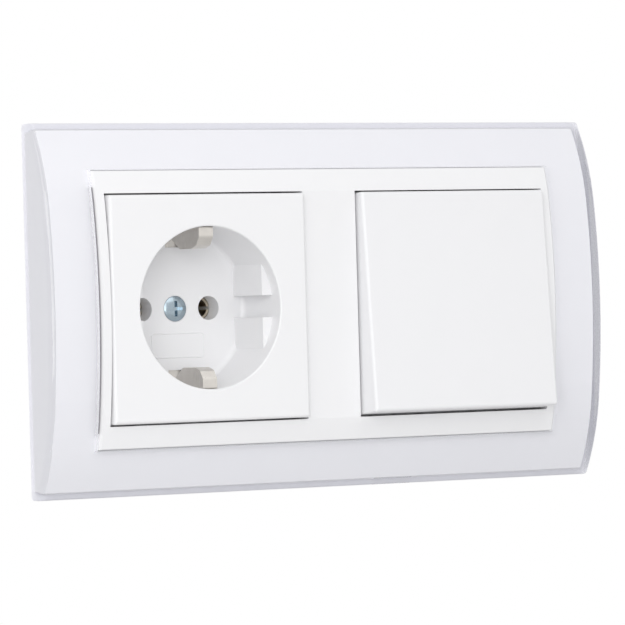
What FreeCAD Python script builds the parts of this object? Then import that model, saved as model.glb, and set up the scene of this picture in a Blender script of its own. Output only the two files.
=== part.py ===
import FreeCAD, Part
import math
import os
import re

import Sketcher
from FreeCAD import Placement, Rotation, Vector

# A flush-mounted wall unit: an earthed socket and a rocker switch in one cover frame.
# X runs to the right, Z up, and the wall is the plane Y = 0, with the room on the -Y side.
# A depth below is a distance out of the wall, so depth = -Y.

doc = FreeCAD.newDocument("wall_unit")
sheet = doc.addObject("Spreadsheet::Sheet", "Sizes")

# Driving sizes in millimetres and degrees
SIZES = [
    ("side_border", 13.8, "clear border beside the inner frame"),
    ("top_border", 11.6, "clear border above and below the inner frame"),
    ("frame_depth", 11.9, "crown of the clear front above the wall"),
    ("edge_depth", 3.5, "front of its top and bottom edges above the wall"),
    ("crown_radius", 190.0, "flat middle arc of the front"),
    ("shoulder_reach", 20.0, "height of the arc from the crown to each edge"),
    ("clear_wall", 2.2, "thickness of the clear shell"),
    ("clear_arris", 1.4, "rounding of the clear shell's front edges"),
    ("clear_corner", 0.8, "rounding of its four corners"),
    ("layer_gap", 0.05, "air between the clear shell and the white one"),
    ("backing_wall", 1.4, "thickness of the white shell"),
    ("pry_place", 21.3, "middle of the pry notch, from the frame's middle"),
    ("pry_width", 11.4, "pry notch"),
    ("pry_height", 1.6, "pry notch"),
    ("inner_side", 2.8, "inner frame outside its windows, left and right"),
    ("inner_top", 5.5, "inner frame outside its windows, above and below"),
    ("inner_lower", 0.1, "inner frame's front below the clear front"),
    ("inner_bevel", 0.8, "bevel of the inner frame's left and right edges"),
    ("inner_arris", 0.5, "rounding of its top and bottom edges"),
    ("inner_wall", 1.6, "walls of the inner frame"),
    ("channel_depth", 6.9, "hollow behind the inner frame's top and bottom"),
    ("window_gap", 0.1, "both shells' windows round the inner frame"),
    ("side_slot", 0.45, "extra width of those windows beside the two inserts"),
    ("flange_depth", 2.6, "front of the inner frame's flange"),
    ("flange_gap", 0.3, "flange inside the white shell"),
    ("aperture", 55.8, "square window for each insert"),
    ("ring_margin", 5.3, "support ring beyond the box screws"),
    ("ring_between", 0.4, "air between the two rings"),
    ("ring_sheet", 1.0, "support ring's steel"),
    ("ring_corner", 5.0, "rounding of the support ring's corners"),
    ("ring_room", 0.2, "air between the rings and the frame"),
    ("screw_pitch", 60.0, "box screws, top to bottom"),
    ("screw_slot", 8.0, "box screw slot, end to end"),
    ("screw_slot_half", 1.9, "half the slot's width"),
    ("plate_gap", 0.45, "socket plate inside its window"),
    ("plate_front", 11.5, "front of the socket plate"),
    ("plate_wall", 2.0, "socket plate's thickness"),
    ("plate_skirt", 8.0, "skirt round the socket plate, front to back"),
    ("plate_skirt_wall", 1.5, "skirt's thickness"),
    ("plate_arris", 0.8, "rounding of the plate's front edges"),
    ("plate_corner", 0.4, "rounding of the plate's corners"),
    ("cup_radius", 19.7, "socket cup"),
    ("cup_depth", 17.4, "socket cup, plate front to floor"),
    ("cup_wall", 1.6, "cup's wall and floor"),
    ("cup_lip", 0.4, "rounding of the cup's mouth"),
    ("cup_root", 1.3, "rounding between the cup's floor and its wall"),
    ("cup_room", 1.0, "support ring's opening round the cup"),
    ("pin_pitch", 19.0, "pin to pin"),
    ("pin_hole", 2.95, "radius of a pin hole"),
    ("pin_collar", 3.0, "collar round a pin hole, behind the cup"),
    ("pin_wall", 1.0, "collar's wall"),
    ("guide_thick", 2.9, "guide blocks, inwards from the cup's wall"),
    ("guide_groove", 5.4, "groove between two guide blocks"),
    ("guide_low", 3.9, "front of the guide blocks below the plate"),
    ("clip_slot", 4.7, "slot for an earth clip"),
    ("clip_slot_reach", 4.7, "slot's inner end, inwards from the cup's wall"),
    ("clip_slot_low", 1.2, "slot's front end below the plate"),
    ("screw_radius", 1.45, "cover screw's shank"),
    ("screw_head", 3.1, "radius of its head"),
    ("screw_rise", 0.5, "head above the cup floor"),
    ("screw_rim", 0.2, "edge of the head, front to back"),
    ("screw_flat", 1.9, "radius of the head's flat middle"),
    ("screw_dome", 5.0, "rounding from the flat to the head's edge"),
    ("recess_arm", 1.9, "cross recess, from the middle to an arm's end"),
    ("recess_half", 0.4, "half width of an arm"),
    ("recess_depth", 1.5, "cross recess"),
    ("screw_length", 15.0, "cover screw below the cup floor"),
    ("screw_room", 0.15, "air round the shank"),
    ("screw_end_room", 1.0, "air behind the screw's tip"),
    ("bowl_wall", 1.5, "socket body's thinnest wall round the cup"),
    ("corner_land", 2.25, "its slanted corners, outwards from the rivets' axes"),
    ("base_shoulder", 9.0, "wide front part of the body"),
    ("base_step", 2.2, "narrow rear part, set in on each side"),
    ("socket_depth", 31.0, "socket body behind the wall plane"),
    ("switch_depth", 25.0, "switch body behind the wall plane"),
    ("base_wall", 2.5, "rear wall of a body"),
    ("gauge_length", 11.0, "recess that shows how much of a wire to bare"),
    ("gauge_half", 1.0, "half width of that recess"),
    ("gauge_depth", 0.4, "depth of that recess"),
    ("seat_gap", 0.1, "between pieces that sit on each other"),
    ("bowl_gap", 0.4, "socket body round the cup"),
    ("strap_sheet", 0.7, "earth strap's metal"),
    ("strap_width", 4.0, "earth strap and clips"),
    ("eye_gap", 0.95, "air between the strap's eye and the pin collars"),
    ("clip_in", 5.3, "clip's innermost face, inwards from the cup's wall"),
    ("clip_out", 1.0, "clip's outer leg, outwards from the cup's wall"),
    ("clip_front", 9.9, "front of the clips"),
    ("clip_brow", 3.5, "clip's front fold, from the outer leg inwards"),
    ("clip_cheek", 1.7, "first slope of the clip, front to back"),
    ("clip_step", 0.6, "second slope of the clip, up and down"),
    ("clip_press", 3.8, "pressing face's front end behind the clip's front"),
    ("clip_press_end", 9.2, "pressing face's rear end behind the clip's front"),
    ("clip_tail", 12.9, "clip's free end behind its front"),
    ("clip_flare", 2.8, "clip's free end, outwards from the pressing face"),
    ("clip_bend", 0.8, "inner radius of the clip's bends"),
    ("chamber_gap", 0.3, "air between a terminal bar and its chamber's wall"),
    ("chamber_room", 4.5, "sleeve chamber, from the pin's axis"),
    ("contact_sheet", 0.6, "contact metal"),
    ("contact_width", 5.2, "contact strips"),
    ("contact_bend", 0.5, "inner radius of a contact strip's bends"),
    ("sleeve_slit", 0.8, "slit on both sides of a sleeve"),
    ("sleeve_root", 2.0, "whole part of a sleeve, behind its slits"),
    ("sleeve_lift", 3.0, "sleeve's rear end above the chamber's rear"),
    ("bar_lift", 1.0, "a straight bar's end above the chamber's rear"),
    ("pole_bar", 10.6, "line or neutral terminal bar, along the wire"),
    ("clamp_sheet", 0.4, "clamp spring's metal"),
    ("clamp_length", 14.6, "clamp spring, along the wire"),
    ("clamp_lift", 2.0, "spring's fixed end above the chamber's rear"),
    ("clamp_fold", 1.6, "spring's fold, across the wire"),
    ("clamp_tip", 6.3, "spring's free end above the chamber's rear"),
    ("clamp_air", 0.3, "air between the spring's free end and the bar"),
    ("clamp_back", 3.3, "clamp spring's fixed leg, from the terminal's axis"),
    ("clamp_bar", 3.0, "terminal bar's face, from the terminal's axis"),
    ("pole_terminal", 10.6, "line and neutral terminals below the pins"),
    ("earth_terminal", 9.6, "earth terminal above the cup's axis"),
    ("wire_hole", 1.2, "radius of a wire entry"),
    ("wire_web", 0.1, "between the bevels of two wire entries"),
    ("wire_place", 1.5, "wire entries, from the terminal's axis"),
    ("wire_funnel", 0.25, "bevel round a wire entry"),
    ("lever_half", 2.0, "half width of a release lever"),
    ("lever_low", 2.6, "lever's outer face, from the terminal's axis"),
    ("lever_high", 1.0, "lever's inner face, from the terminal's axis"),
    ("lever_proud", 1.0, "lever behind the body's rear"),
    ("lever_gap", 0.15, "air round a lever"),
    ("lever_reach", 12.2, "lever's nose, from the chamber's rear"),
    ("rivet_land", 1.9, "rivets' axes, outwards from the ring's opening"),
    ("rivet_shank", 1.1, "radius of a rivet's shank"),
    ("rivet_head", 1.8, "radius of a rivet's head"),
    ("rivet_head_height", 0.6, "rivet's head"),
    ("rivet_length", 6.0, "rivet in the body"),
    ("rocker_tilt", 4.17, "rocker's lean each way from the middle"),
    ("rocker_pivot", 8.0, "pivot above the wall"),
    ("rocker_front", 13.9, "rocker's front face above the wall, level"),
    ("rocker_gap", 0.5, "rocker inside its window"),
    ("rocker_draft", 0.2, "taper of the rocker's sides, each side"),
    ("rocker_skirt", 9.4, "rocker, front to back"),
    ("rocker_wall", 1.8, "rocker's thickness"),
    ("rocker_arris", 0.8, "rounding of the rocker's front edges"),
    ("rocker_corner", 0.5, "rounding of the rocker's corners"),
    ("cradle_half_width", 11.4, "cradle, to each side"),
    ("cradle_half_height", 8.8, "cradle, up and down"),
    ("cradle_low", 4.3, "cradle behind its pivot"),
    ("cradle_wall", 1.8, "cradle's walls"),
    ("clip_wall", 1.4, "rocker's clip walls round the cradle"),
    ("clip_wall_inset", 2.0, "their ends, inwards from the cradle's sides"),
    ("clip_wall_low", 1.0, "their rear edge behind the pivot"),
    ("pivot_pin", 1.5, "radius of the cradle's pivot pins"),
    ("pivot_room", 0.06, "air round a pivot pin"),
    ("ear_gap", 0.3, "ears beside the cradle"),
    ("ear_wall", 2.8, "ears' thickness"),
    ("ear_half", 3.6, "half height of an ear"),
    ("ear_crown", 1.0, "ear in front of the pivot pin"),
    ("top_gap", 0.4, "switch top inside the ring's opening"),
    ("top_plate", 1.6, "switch top's plate"),
    ("plunger_radius", 1.6, "plunger"),
    ("plunger_room", 0.05, "air round the plunger"),
    ("plunger_length", 8.0, "plunger"),
    ("plunger_tube", 3.0, "radius of the cradle's tube round the plunger"),
    ("plunger_out", 3.0, "plunger's tip beyond its tube"),
    ("plunger_gap", 0.3, "plunger's tip over the moving contact"),
    ("plunger_nose", 1.28, "rounding of the plunger's tip"),
    ("way_side", 1.0, "opening for the plunger beside its tube"),
    ("way_end", 1.6, "opening for the plunger above and below its tube"),
    ("spring_wire", 0.25, "radius of the plunger spring's wire"),
    ("spring_turns", 4.0, "plunger spring"),
    ("contact_axis", 7.0, "moving contact's axis behind the wall plane"),
    ("contact_leaf", 0.8, "moving contact's thickness"),
    ("contact_half", 12.0, "moving contact, from its axis to each end"),
    ("contact_tilt", 4.0, "moving contact's lean each way"),
    ("point_place", 10.0, "contact points, from the axis"),
    ("point_radius", 1.5, "contact points"),
    ("point_height", 0.7, "contact points"),
    ("point_gap", 0.25, "air between closed contact points, drawn apart"),
    ("side_inset", 9.8, "common terminal, inwards from the body's side"),
    ("end_inset", 6.4, "upper and lower terminals, inwards from the body's ends"),
    ("end_lip", 2.2, "end contact, inwards from its contact point"),
    ("end_bend", 0.4, "inner radius of an end contact's bends"),
    ("end_roof", 1.5, "wall in front of an end chamber"),
    ("well_side", 1.0, "mechanism's well beside the terminal chambers"),
    ("well_end", 3.0, "mechanism's well beyond the moving contact"),
]
NAMES = {name for name, _, _ in SIZES}

for row, (name, size, note) in enumerate(SIZES, start=1):
    sheet.set(f"A{row}", note)
    sheet.set(f"B{row}", str(size))
    sheet.setAlias(f"B{row}", name)
doc.recompute()

# Places and lengths worked out from the sizes above
PLACES = {
    "ring_size": "screw_pitch + 2 * ring_margin",
    "gang_pitch": "ring_size + ring_between",
    "inner_width": "gang_pitch + aperture + 2 * inner_side",
    "inner_height": "aperture + 2 * inner_top",
    "frame_width": "inner_width + 2 * side_border",
    "frame_height": "inner_height + 2 * top_border",
    "socket_x": "-gang_pitch / 2",
    "switch_x": "gang_pitch / 2",
    "cup_outer": "cup_radius + cup_wall",
    "ring_hole": "cup_outer + cup_room",
    "base_half": "cup_outer + bowl_gap + bowl_wall",
    "rivet_place": "(ring_hole + rivet_land) / sqrt(2)",
    "base_corner": "2 * (base_half - rivet_place) - corner_land * sqrt(2)",
    "side_terminal": "base_half - side_inset",
    "end_terminal": "base_half - end_inset",
    "guide_flat": "cup_radius - guide_thick",
    "clip_slot_inner": "cup_radius - clip_slot_reach",
    "clip_reach": "cup_radius - clip_in",
    "clip_root": "cup_radius + clip_out",
    "collar_radius": "pin_hole + pin_wall",
    "strap_eye": "pin_pitch / 2 - collar_radius - eye_gap",
    "chamber_half": "contact_width / 2 + chamber_gap",
    "wire_pitch": "2 * (wire_hole + wire_funnel) + wire_web",
    "sleeve_radius": "chamber_half - seat_gap",
    "sleeve_front": "cup_back - pin_collar - seat_gap",
    "sleeve_back": "socket_rear + sleeve_lift",
    "floor_depth": "plate_front - cup_depth",
    "cup_back": "floor_depth - cup_wall",
    "strap_front": "cup_back - seat_gap",
    "strap_back": "strap_front - strap_sheet",
    "bowl_floor": "strap_back - seat_gap / 2",
    "socket_rear": "-socket_depth + base_wall",
    "switch_rear": "-switch_depth + base_wall",
    "plate_half": "aperture / 2 - plate_gap",
    "rocker_half": "aperture / 2 - rocker_gap",
    "face_level": "rocker_front - rocker_pivot",
    "cradle_high": "face_level - rocker_wall - seat_gap",
    "tip_level": "rocker_pivot + contact_axis - contact_leaf / 2 - plunger_gap",
    "flange_half_width": "frame_width / 2 - backing_inset - flange_gap",
    "backing_inset": "clear_wall + layer_gap + backing_wall",
    "crown_half": "frame_height / 2 - shoulder_reach",
    "crown_sine": "crown_half / crown_radius",
    "crown_cosine": "sqrt(1 - crown_sine^2)",
    "shoulder_drop": "frame_depth - crown_radius * (1 - crown_cosine) - edge_depth",
    "shoulder_radius": "(shoulder_drop^2 + shoulder_reach^2)"
                       " / (2 * (shoulder_drop * crown_cosine - shoulder_reach * crown_sine))",
    "shoulder_z": "(crown_radius - shoulder_radius) * crown_sine",
    "shoulder_y": "crown_radius - frame_depth - (crown_radius - shoulder_radius) * crown_cosine",
    "bar_face": "sqrt((shoulder_radius - inner_lower)^2 - (aperture / 2 - shoulder_z)^2) - shoulder_y",
    "flange_half_height": "shoulder_z + sqrt((shoulder_radius - backing_inset)^2"
                          " - (flange_depth + flange_gap + shoulder_y)^2)",
    "ring_top": "ring_sheet + ring_room",
    "point_front": "-contact_axis - (contact_leaf / 2 + point_height) * cos(contact_tilt)"
                   " - point_place * sin(contact_tilt) - point_gap",
    "bar_front": "point_front - point_height",
    "bar_middle": "bar_front - contact_sheet / 2",
}
WORD = re.compile(r"[a-z][a-z_]*")

# How close two lengths are to be the same, and the least change that a cut makes
TOLERANCE = 1e-4
CUT_TOLERANCE = 1e-6

# How far a through cut runs past its piece, and the Y in front of which an edge is a front one
BEYOND = "1"
FRONT_EDGES = -1.0


def tie(formula):
    """Turn a formula of plain names into one that reads the sheet."""
    def swap(match):
        word = match.group(0)
        if word in PLACES:
            return "(" + tie(PLACES[word]) + ")"
        if word in NAMES:
            return "Sizes." + word
        return word
    return WORD.sub(swap, str(formula))


def value(formula):
    """Work a formula out as a plain number."""
    return float(sheet.evalExpression(tie(formula)))


def bind(item, **formulas):
    """Tie properties of a document object to formulas."""
    for name, formula in formulas.items():
        item.setExpression(name, tie(formula))


def place(item, x="0", depth="0", z="0"):
    """Tie an object's position; a depth is measured out of the wall."""
    item.setExpression("Placement.Base.x", tie(x))
    item.setExpression("Placement.Base.y", tie(f"-({depth})"))
    item.setExpression("Placement.Base.z", tie(z))


# Pieces in the order they are made: each becomes one file
PIECES = []


def keep(item):
    """Note an object as a finished piece of the unit."""
    PIECES.append(item)
    return item


class Drawing:
    """A sketch on one of a body's own planes, with each point tied to the sheet.

    On the XZ plane, u is X, v is Z and the sketch is moved out of the wall by `away`.
    On the YZ plane, u is Y, v is Z and it is moved along X.
    """

    def __init__(self, body, name, plane, away="0"):
        self.body = body
        self.sketch = body.newObject("Sketcher::SketchObject", name)
        support = [item for item in body.Origin.OriginFeatures if item.Role == plane + "_Plane"]
        self.sketch.AttachmentSupport = [(support[0], "")]
        self.sketch.MapMode = "FlatFace"
        self.sketch.setExpression("AttachmentOffset.Base.z", tie(away))

    def fix(self, kind, index, point, formula):
        """Hold one coordinate of a point at a formula."""
        rule = Sketcher.Constraint(kind, -1, 1, index, point, value(formula))
        number = self.sketch.addConstraint(rule)
        self.sketch.setExpression(f"Constraints[{number}]", tie(formula))

    def polygon(self, points):
        """Draw a closed outline through (u, v) formulas."""
        corners = [Vector(value(u), value(v), 0) for u, v in points]
        count = len(corners)
        first = self.sketch.GeometryCount
        sides = [Part.LineSegment(corners[i], corners[(i + 1) % count]) for i in range(count)]
        self.sketch.addGeometry(sides, False)
        for i, (u, v) in enumerate(points):
            following = first + (i + 1) % count
            self.sketch.addConstraint(Sketcher.Constraint("Coincident", first + i, 2, following, 1))
            self.fix("DistanceX", first + i, 1, u)
            self.fix("DistanceY", first + i, 1, v)
        return self

    def box(self, u_low, u_high, v_low, v_high):
        """Draw a rectangle."""
        return self.polygon([(u_low, v_low), (u_high, v_low), (u_high, v_high), (u_low, v_high)])

    def square(self, half, u="0", v="0"):
        """Draw a square round a middle point."""
        return self.box(f"{u} - ({half})", f"{u} + {half}", f"{v} - ({half})", f"{v} + {half}")

    def octagon(self, half, corner):
        """Draw a square with slanted corners."""
        short = f"{half} - ({corner})"
        points = [(half, short), (short, half), (f"-({short})", half), (f"-({half})", short)]
        opposite = [(f"-({u})", f"-({v})") for u, v in points]
        return self.polygon(points + opposite)

    def circle(self, u, v, radius):
        """Draw a circle."""
        round_line = Part.Circle(Vector(value(u), value(v), 0), Vector(0, 0, 1), value(radius))
        index = self.sketch.addGeometry(round_line, False)
        self.fix("DistanceX", index, 3, u)
        self.fix("DistanceY", index, 3, v)
        number = self.sketch.addConstraint(Sketcher.Constraint("Radius", index, value(radius)))
        self.sketch.setExpression(f"Constraints[{number}]", tie(radius))
        return self

    def slot(self, u, v, length, half):
        """Draw a slot with round ends that runs along u."""
        reach = f"({length}) / 2 - ({half})"
        radius = value(half)
        ends = [Vector(value(f"{u} {sign} ({reach})"), value(v), 0) for sign in "+-"]
        up = Vector(0, radius, 0)
        quarter = math.pi / 2
        axis = Vector(0, 0, 1)
        first = self.sketch.addGeometry([
            Part.ArcOfCircle(Part.Circle(ends[0], axis, radius), -quarter, quarter),
            Part.LineSegment(ends[0] + up, ends[1] + up),
            Part.ArcOfCircle(Part.Circle(ends[1], axis, radius), quarter, 3 * quarter),
            Part.LineSegment(ends[1] - up, ends[0] - up),
        ], False)[0]
        joins = [(0, 2, 1, 1), (1, 2, 2, 1), (2, 2, 3, 1), (3, 2, 0, 1)]
        for a, a_end, b, b_end in joins:
            self.sketch.addConstraint(Sketcher.Constraint("Tangent", first + a, a_end, first + b, b_end))
        self.fix("DistanceX", first, 3, f"{u} + {reach}")
        self.fix("DistanceY", first, 3, v)
        self.fix("DistanceX", first + 2, 3, f"{u} - ({reach})")
        self.fix("DistanceY", first + 2, 3, v)
        number = self.sketch.addConstraint(Sketcher.Constraint("Radius", first, radius))
        self.sketch.setExpression(f"Constraints[{number}]", tie(half))
        return self

    def arch(self, inset, half_height):
        """Draw the frame's section on the YZ plane: flat at the wall, three arcs in front.

        The three arcs lie `inset` behind the clear front.
        """
        crown_centre = "crown_radius - frame_depth"
        crown = value(f"crown_radius - ({inset})")
        shoulder = value(f"shoulder_radius - ({inset})")
        height = value(half_height)
        axis = Vector(0, 0, 1)
        turn = math.asin(value("crown_sine"))
        reach = math.asin((height - value("shoulder_z")) / shoulder)
        edge_u = value("shoulder_y") - shoulder * math.cos(reach)
        middle = Vector(value(crown_centre), 0, 0)
        upper = Vector(value("shoulder_y"), value("shoulder_z"), 0)
        lower = Vector(upper.x, -upper.y, 0)
        half_turn = math.pi
        self.sketch.addGeometry([
            Part.LineSegment(Vector(0, -height, 0), Vector(0, height, 0)),
            Part.LineSegment(Vector(0, height, 0), Vector(edge_u, height, 0)),
            Part.ArcOfCircle(Part.Circle(upper, axis, shoulder), half_turn - reach, half_turn - turn),
            Part.ArcOfCircle(Part.Circle(middle, axis, crown), half_turn - turn, half_turn + turn),
            Part.ArcOfCircle(Part.Circle(lower, axis, shoulder), half_turn + turn, half_turn + reach),
            Part.LineSegment(Vector(edge_u, -height, 0), Vector(0, -height, 0)),
        ], False)
        wall, top, upper_arc, crown_arc, lower_arc, bottom = range(6)
        chain = [wall, top, upper_arc, crown_arc, lower_arc, bottom]
        for before, after in zip(chain, chain[1:] + chain[:1]):
            self.sketch.addConstraint(Sketcher.Constraint("Coincident", before, 2, after, 1))
        self.sketch.addConstraint(Sketcher.Constraint("Horizontal", top))
        self.sketch.addConstraint(Sketcher.Constraint("Horizontal", bottom))
        for point, sign in ((1, "-"), (2, "")):
            self.fix("DistanceX", wall, point, "0")
            self.fix("DistanceY", wall, point, f"{sign}({half_height})")
        for arc, sign in ((upper_arc, ""), (lower_arc, "-")):
            self.fix("DistanceX", arc, 3, "shoulder_y")
            self.fix("DistanceY", arc, 3, f"{sign}(shoulder_z)")
        self.fix("DistanceX", crown_arc, 3, crown_centre)
        self.fix("DistanceY", crown_arc, 3, "0")
        for point, sign in ((1, ""), (2, "-")):
            self.fix("DistanceY", crown_arc, point, f"{sign}(crown_radius - ({inset})) * crown_sine")
        number = self.sketch.addConstraint(Sketcher.Constraint("Radius", crown_arc, crown))
        self.sketch.setExpression(f"Constraints[{number}]", tie(f"crown_radius - ({inset})"))
        return self

    def feature(self, kind, length, along=True):
        """Make a pad or pocket of this drawing, along its plane's direction or against it."""
        item = self.body.newObject("PartDesign::" + kind, self.sketch.Name + "_" + kind.lower())
        item.Profile = self.sketch
        item.setExpression("Length", tie(length))
        item.Reversed = along == (kind == "Pocket")
        return item

    def pad(self, length):
        """Build the drawing up along its plane's direction."""
        return self.feature("Pad", length)

    def cut(self, length, along=True):
        """Cut the drawing out, along its plane's direction or against it."""
        doc.recompute()
        before = self.body.Shape.Volume
        item = self.feature("Pocket", length, along)
        doc.recompute()
        if not item.Shape.Volume < before - CUT_TOLERANCE:
            raise RuntimeError(f"{item.Name} cuts nothing")
        return item

    def turn(self, kind):
        """Turn the drawing round the plane's u axis, into a solid or out of one."""
        item = self.body.newObject("PartDesign::" + kind, self.sketch.Name + "_" + kind.lower())
        item.Profile = self.sketch
        item.ReferenceAxis = (self.sketch, ["H_Axis"])
        item.Angle = 360
        return item


def new_body(label):
    """Start a piece that is built from sketches."""
    return keep(doc.addObject("PartDesign::Body", label))


def edges(body, test):
    """Name the edges of a body whose box, in the body's own frame, passes a test."""
    doc.recompute()
    found = [f"Edge{i}" for i, edge in enumerate(body.Tip.Shape.Edges, start=1) if test(edge.BoundBox)]
    if not found:
        raise RuntimeError(f"{body.Label}: no such edge")
    return found


def dress(body, kind, size, test):
    """Round or bevel the edges that pass a test."""
    names = edges(body, test)
    base = body.Tip
    item = body.newObject("PartDesign::" + kind, body.Name + "_" + kind.lower())
    item.Base = (base, names)
    item.setExpression("Radius" if kind == "Fillet" else "Size", tie(size))
    return item


def near(a, b):
    """Tell whether two lengths are the same."""
    return abs(a - b) < TOLERANCE


def box(name, x, depth, z):
    """A block between pairs of formulas in X, in depth and in Z."""
    item = doc.addObject("Part::Box", name)
    bind(item, Length=f"{x[1]} - ({x[0]})", Width=f"{depth[1]} - ({depth[0]})", Height=f"{z[1]} - ({z[0]})")
    place(item, x[0], depth[1], z[0])
    return item


def rod(name, x, z, radius, depth):
    """A round rod along Y, between two depths."""
    item = doc.addObject("Part::Cylinder", name)
    item.Placement = Placement(Vector(), Rotation(Vector(1, 0, 0), 90))
    bind(item, Radius=radius, Height=f"{depth[1]} - ({depth[0]})")
    place(item, x, depth[0], z)
    return item


def join(name, items):
    """Fuse objects into one."""
    item = doc.addObject("Part::MultiFuse", name)
    item.Shapes = items
    return item


def subtract(name, base, tools):
    """Cut objects out of another."""
    item = doc.addObject("Part::Cut", name)
    item.Base = base
    item.Tool = tools[0] if len(tools) == 1 else join(name + "_tools", tools)
    return item


def rounded_wire(points, radii):
    """A closed wire through the points, with each corner rounded by its own radius."""
    corners = []
    for i, corner in enumerate(points):
        to_before = (points[i - 1] - corner).normalize()
        to_after = (points[(i + 1) % len(points)] - corner).normalize()
        if radii[i] == 0:
            corners.append((corner, None, corner))
            continue
        half = to_before.getAngle(to_after) / 2
        reach = radii[i] / math.tan(half)
        inward = (to_before + to_after).normalize()
        middle = corner + inward * (radii[i] / math.sin(half) - radii[i])
        corners.append((corner + to_before * reach, middle, corner + to_after * reach))
    lines = []
    for i, (start, middle, end) in enumerate(corners):
        if middle:
            lines.append(Part.Arc(start, middle, end).toShape())
        following = corners[(i + 1) % len(corners)][0]
        if end.distanceToPoint(following) > CUT_TOLERANCE:
            lines.append(Part.LineSegment(end, following).toShape())
    return Part.Wire(lines)


def strip(name, path, sheet_size, width, bend, x):
    """A bent metal strip: a path of (depth, z) formulas along its middle, extruded in X.

    The strip is centred on x, `bend` is the inner radius of its bends.
    """
    half = value(sheet_size) / 2
    inner = value(bend)
    line = [Vector(0, -value(depth), value(z)) for depth, z in path]
    normals = []
    for start, end in zip(line, line[1:]):
        step = (end - start).normalize()
        normals.append(Vector(0, -step.z, step.y))
    left, right, left_radii, right_radii = [], [], [], []
    for i, point in enumerate(line):
        before = normals[max(i - 1, 0)]
        after = normals[min(i, len(normals) - 1)]
        mitre = (before + after).normalize()
        offset = mitre * (half / mitre.dot(before))
        turn = before.y * after.z - before.z * after.y
        left.append(point + offset)
        right.append(point - offset)
        bent = abs(turn) > CUT_TOLERANCE
        left_radii.append((inner if turn > 0 else inner + 2 * half) if bent else 0)
        right_radii.append((inner if turn < 0 else inner + 2 * half) if bent else 0)
    outline = rounded_wire(left + right[::-1], left_radii + right_radii[::-1])
    item = doc.addObject("Part::Feature", name)
    item.Shape = Part.Face(outline).extrude(Vector(value(width), 0, 0))
    item.Placement = Placement(Vector(value(f"{x} - ({width}) / 2"), 0, 0), Rotation())
    return item


def web(name, path, thick, bend, x):
    """A flat web that fills the outline of a path of (depth, z) formulas, from x onwards."""
    corners = [Vector(0, -value(depth), value(z)) for depth, z in path]
    radii = [0] + [value(bend)] * (len(corners) - 2) + [0]
    item = doc.addObject("Part::Feature", name)
    item.Shape = Part.Face(rounded_wire(corners, radii)).extrude(Vector(value(thick), 0, 0))
    item.Placement = Placement(Vector(value(x), 0, 0), Rotation())
    return item


# Cover frame

def cut_window(body, label):
    """Cut a shell's window round the inner frame, with a slot beside each insert."""
    half_width = "(inner_width / 2 + window_gap)"
    half_height = "(inner_height / 2 + window_gap)"
    window = Drawing(body, label + "_window", "XZ")
    window.box(f"-{half_width}", half_width, f"-{half_height}", half_height)
    window.cut(f"frame_depth + {BEYOND}")
    slots = Drawing(body, label + "_side_slots", "XZ")
    slot_half = "(aperture / 2 + inner_wall)"
    slots.box(f"-{half_width} - side_slot", f"-{half_width} + {BEYOND}", f"-{slot_half}", slot_half)
    slots.box(f"{half_width} - {BEYOND}", f"{half_width} + side_slot", f"-{slot_half}", slot_half)
    slots.cut(f"frame_depth + {BEYOND}")


def clear_cover():
    """Clear arched shell, open at the back, with one window."""
    body = new_body("clear_cover")
    outside = Drawing(body, "clear_outside", "YZ", "-frame_width / 2")
    outside.arch("0", "frame_height / 2").pad("frame_width")
    height = value("frame_height / 2")
    dress(body, "Fillet", "clear_arris", lambda b: b.YMax < FRONT_EDGES)
    dress(body, "Fillet", "clear_corner", lambda b: b.XLength < TOLERANCE and near(b.YMax, 0)
          and near(b.ZLength, 0) and near(abs(b.ZMin), height))
    inside = Drawing(body, "clear_inside", "YZ", "-frame_width / 2 + clear_wall")
    inside.arch("clear_wall", "frame_height / 2 - clear_wall")
    inside.cut("frame_width - 2 * clear_wall")
    cut_window(body, "clear")
    return body


def white_backing():
    """White shell that fits inside the clear one, with a pry notch in its lower wall."""
    body = new_body("white_backing")
    skin = "(clear_wall + layer_gap)"
    core = "(backing_inset)"
    outside = Drawing(body, "backing_outside", "YZ", f"-frame_width / 2 + {skin}")
    outside.arch(skin, f"frame_height / 2 - {skin}").pad(f"frame_width - 2 * {skin}")
    inside = Drawing(body, "backing_inside", "YZ", f"-frame_width / 2 + {core}")
    inside.arch(core, f"frame_height / 2 - {core}").cut(f"frame_width - 2 * {core}")
    cut_window(body, "backing")
    notch = Drawing(body, "pry_notch", "XZ")
    notch.box("pry_place - pry_width / 2", "pry_place + pry_width / 2",
              "-frame_height / 2", f"-frame_height / 2 + {core} + {BEYOND}")
    notch.cut("pry_height")
    return body


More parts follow.
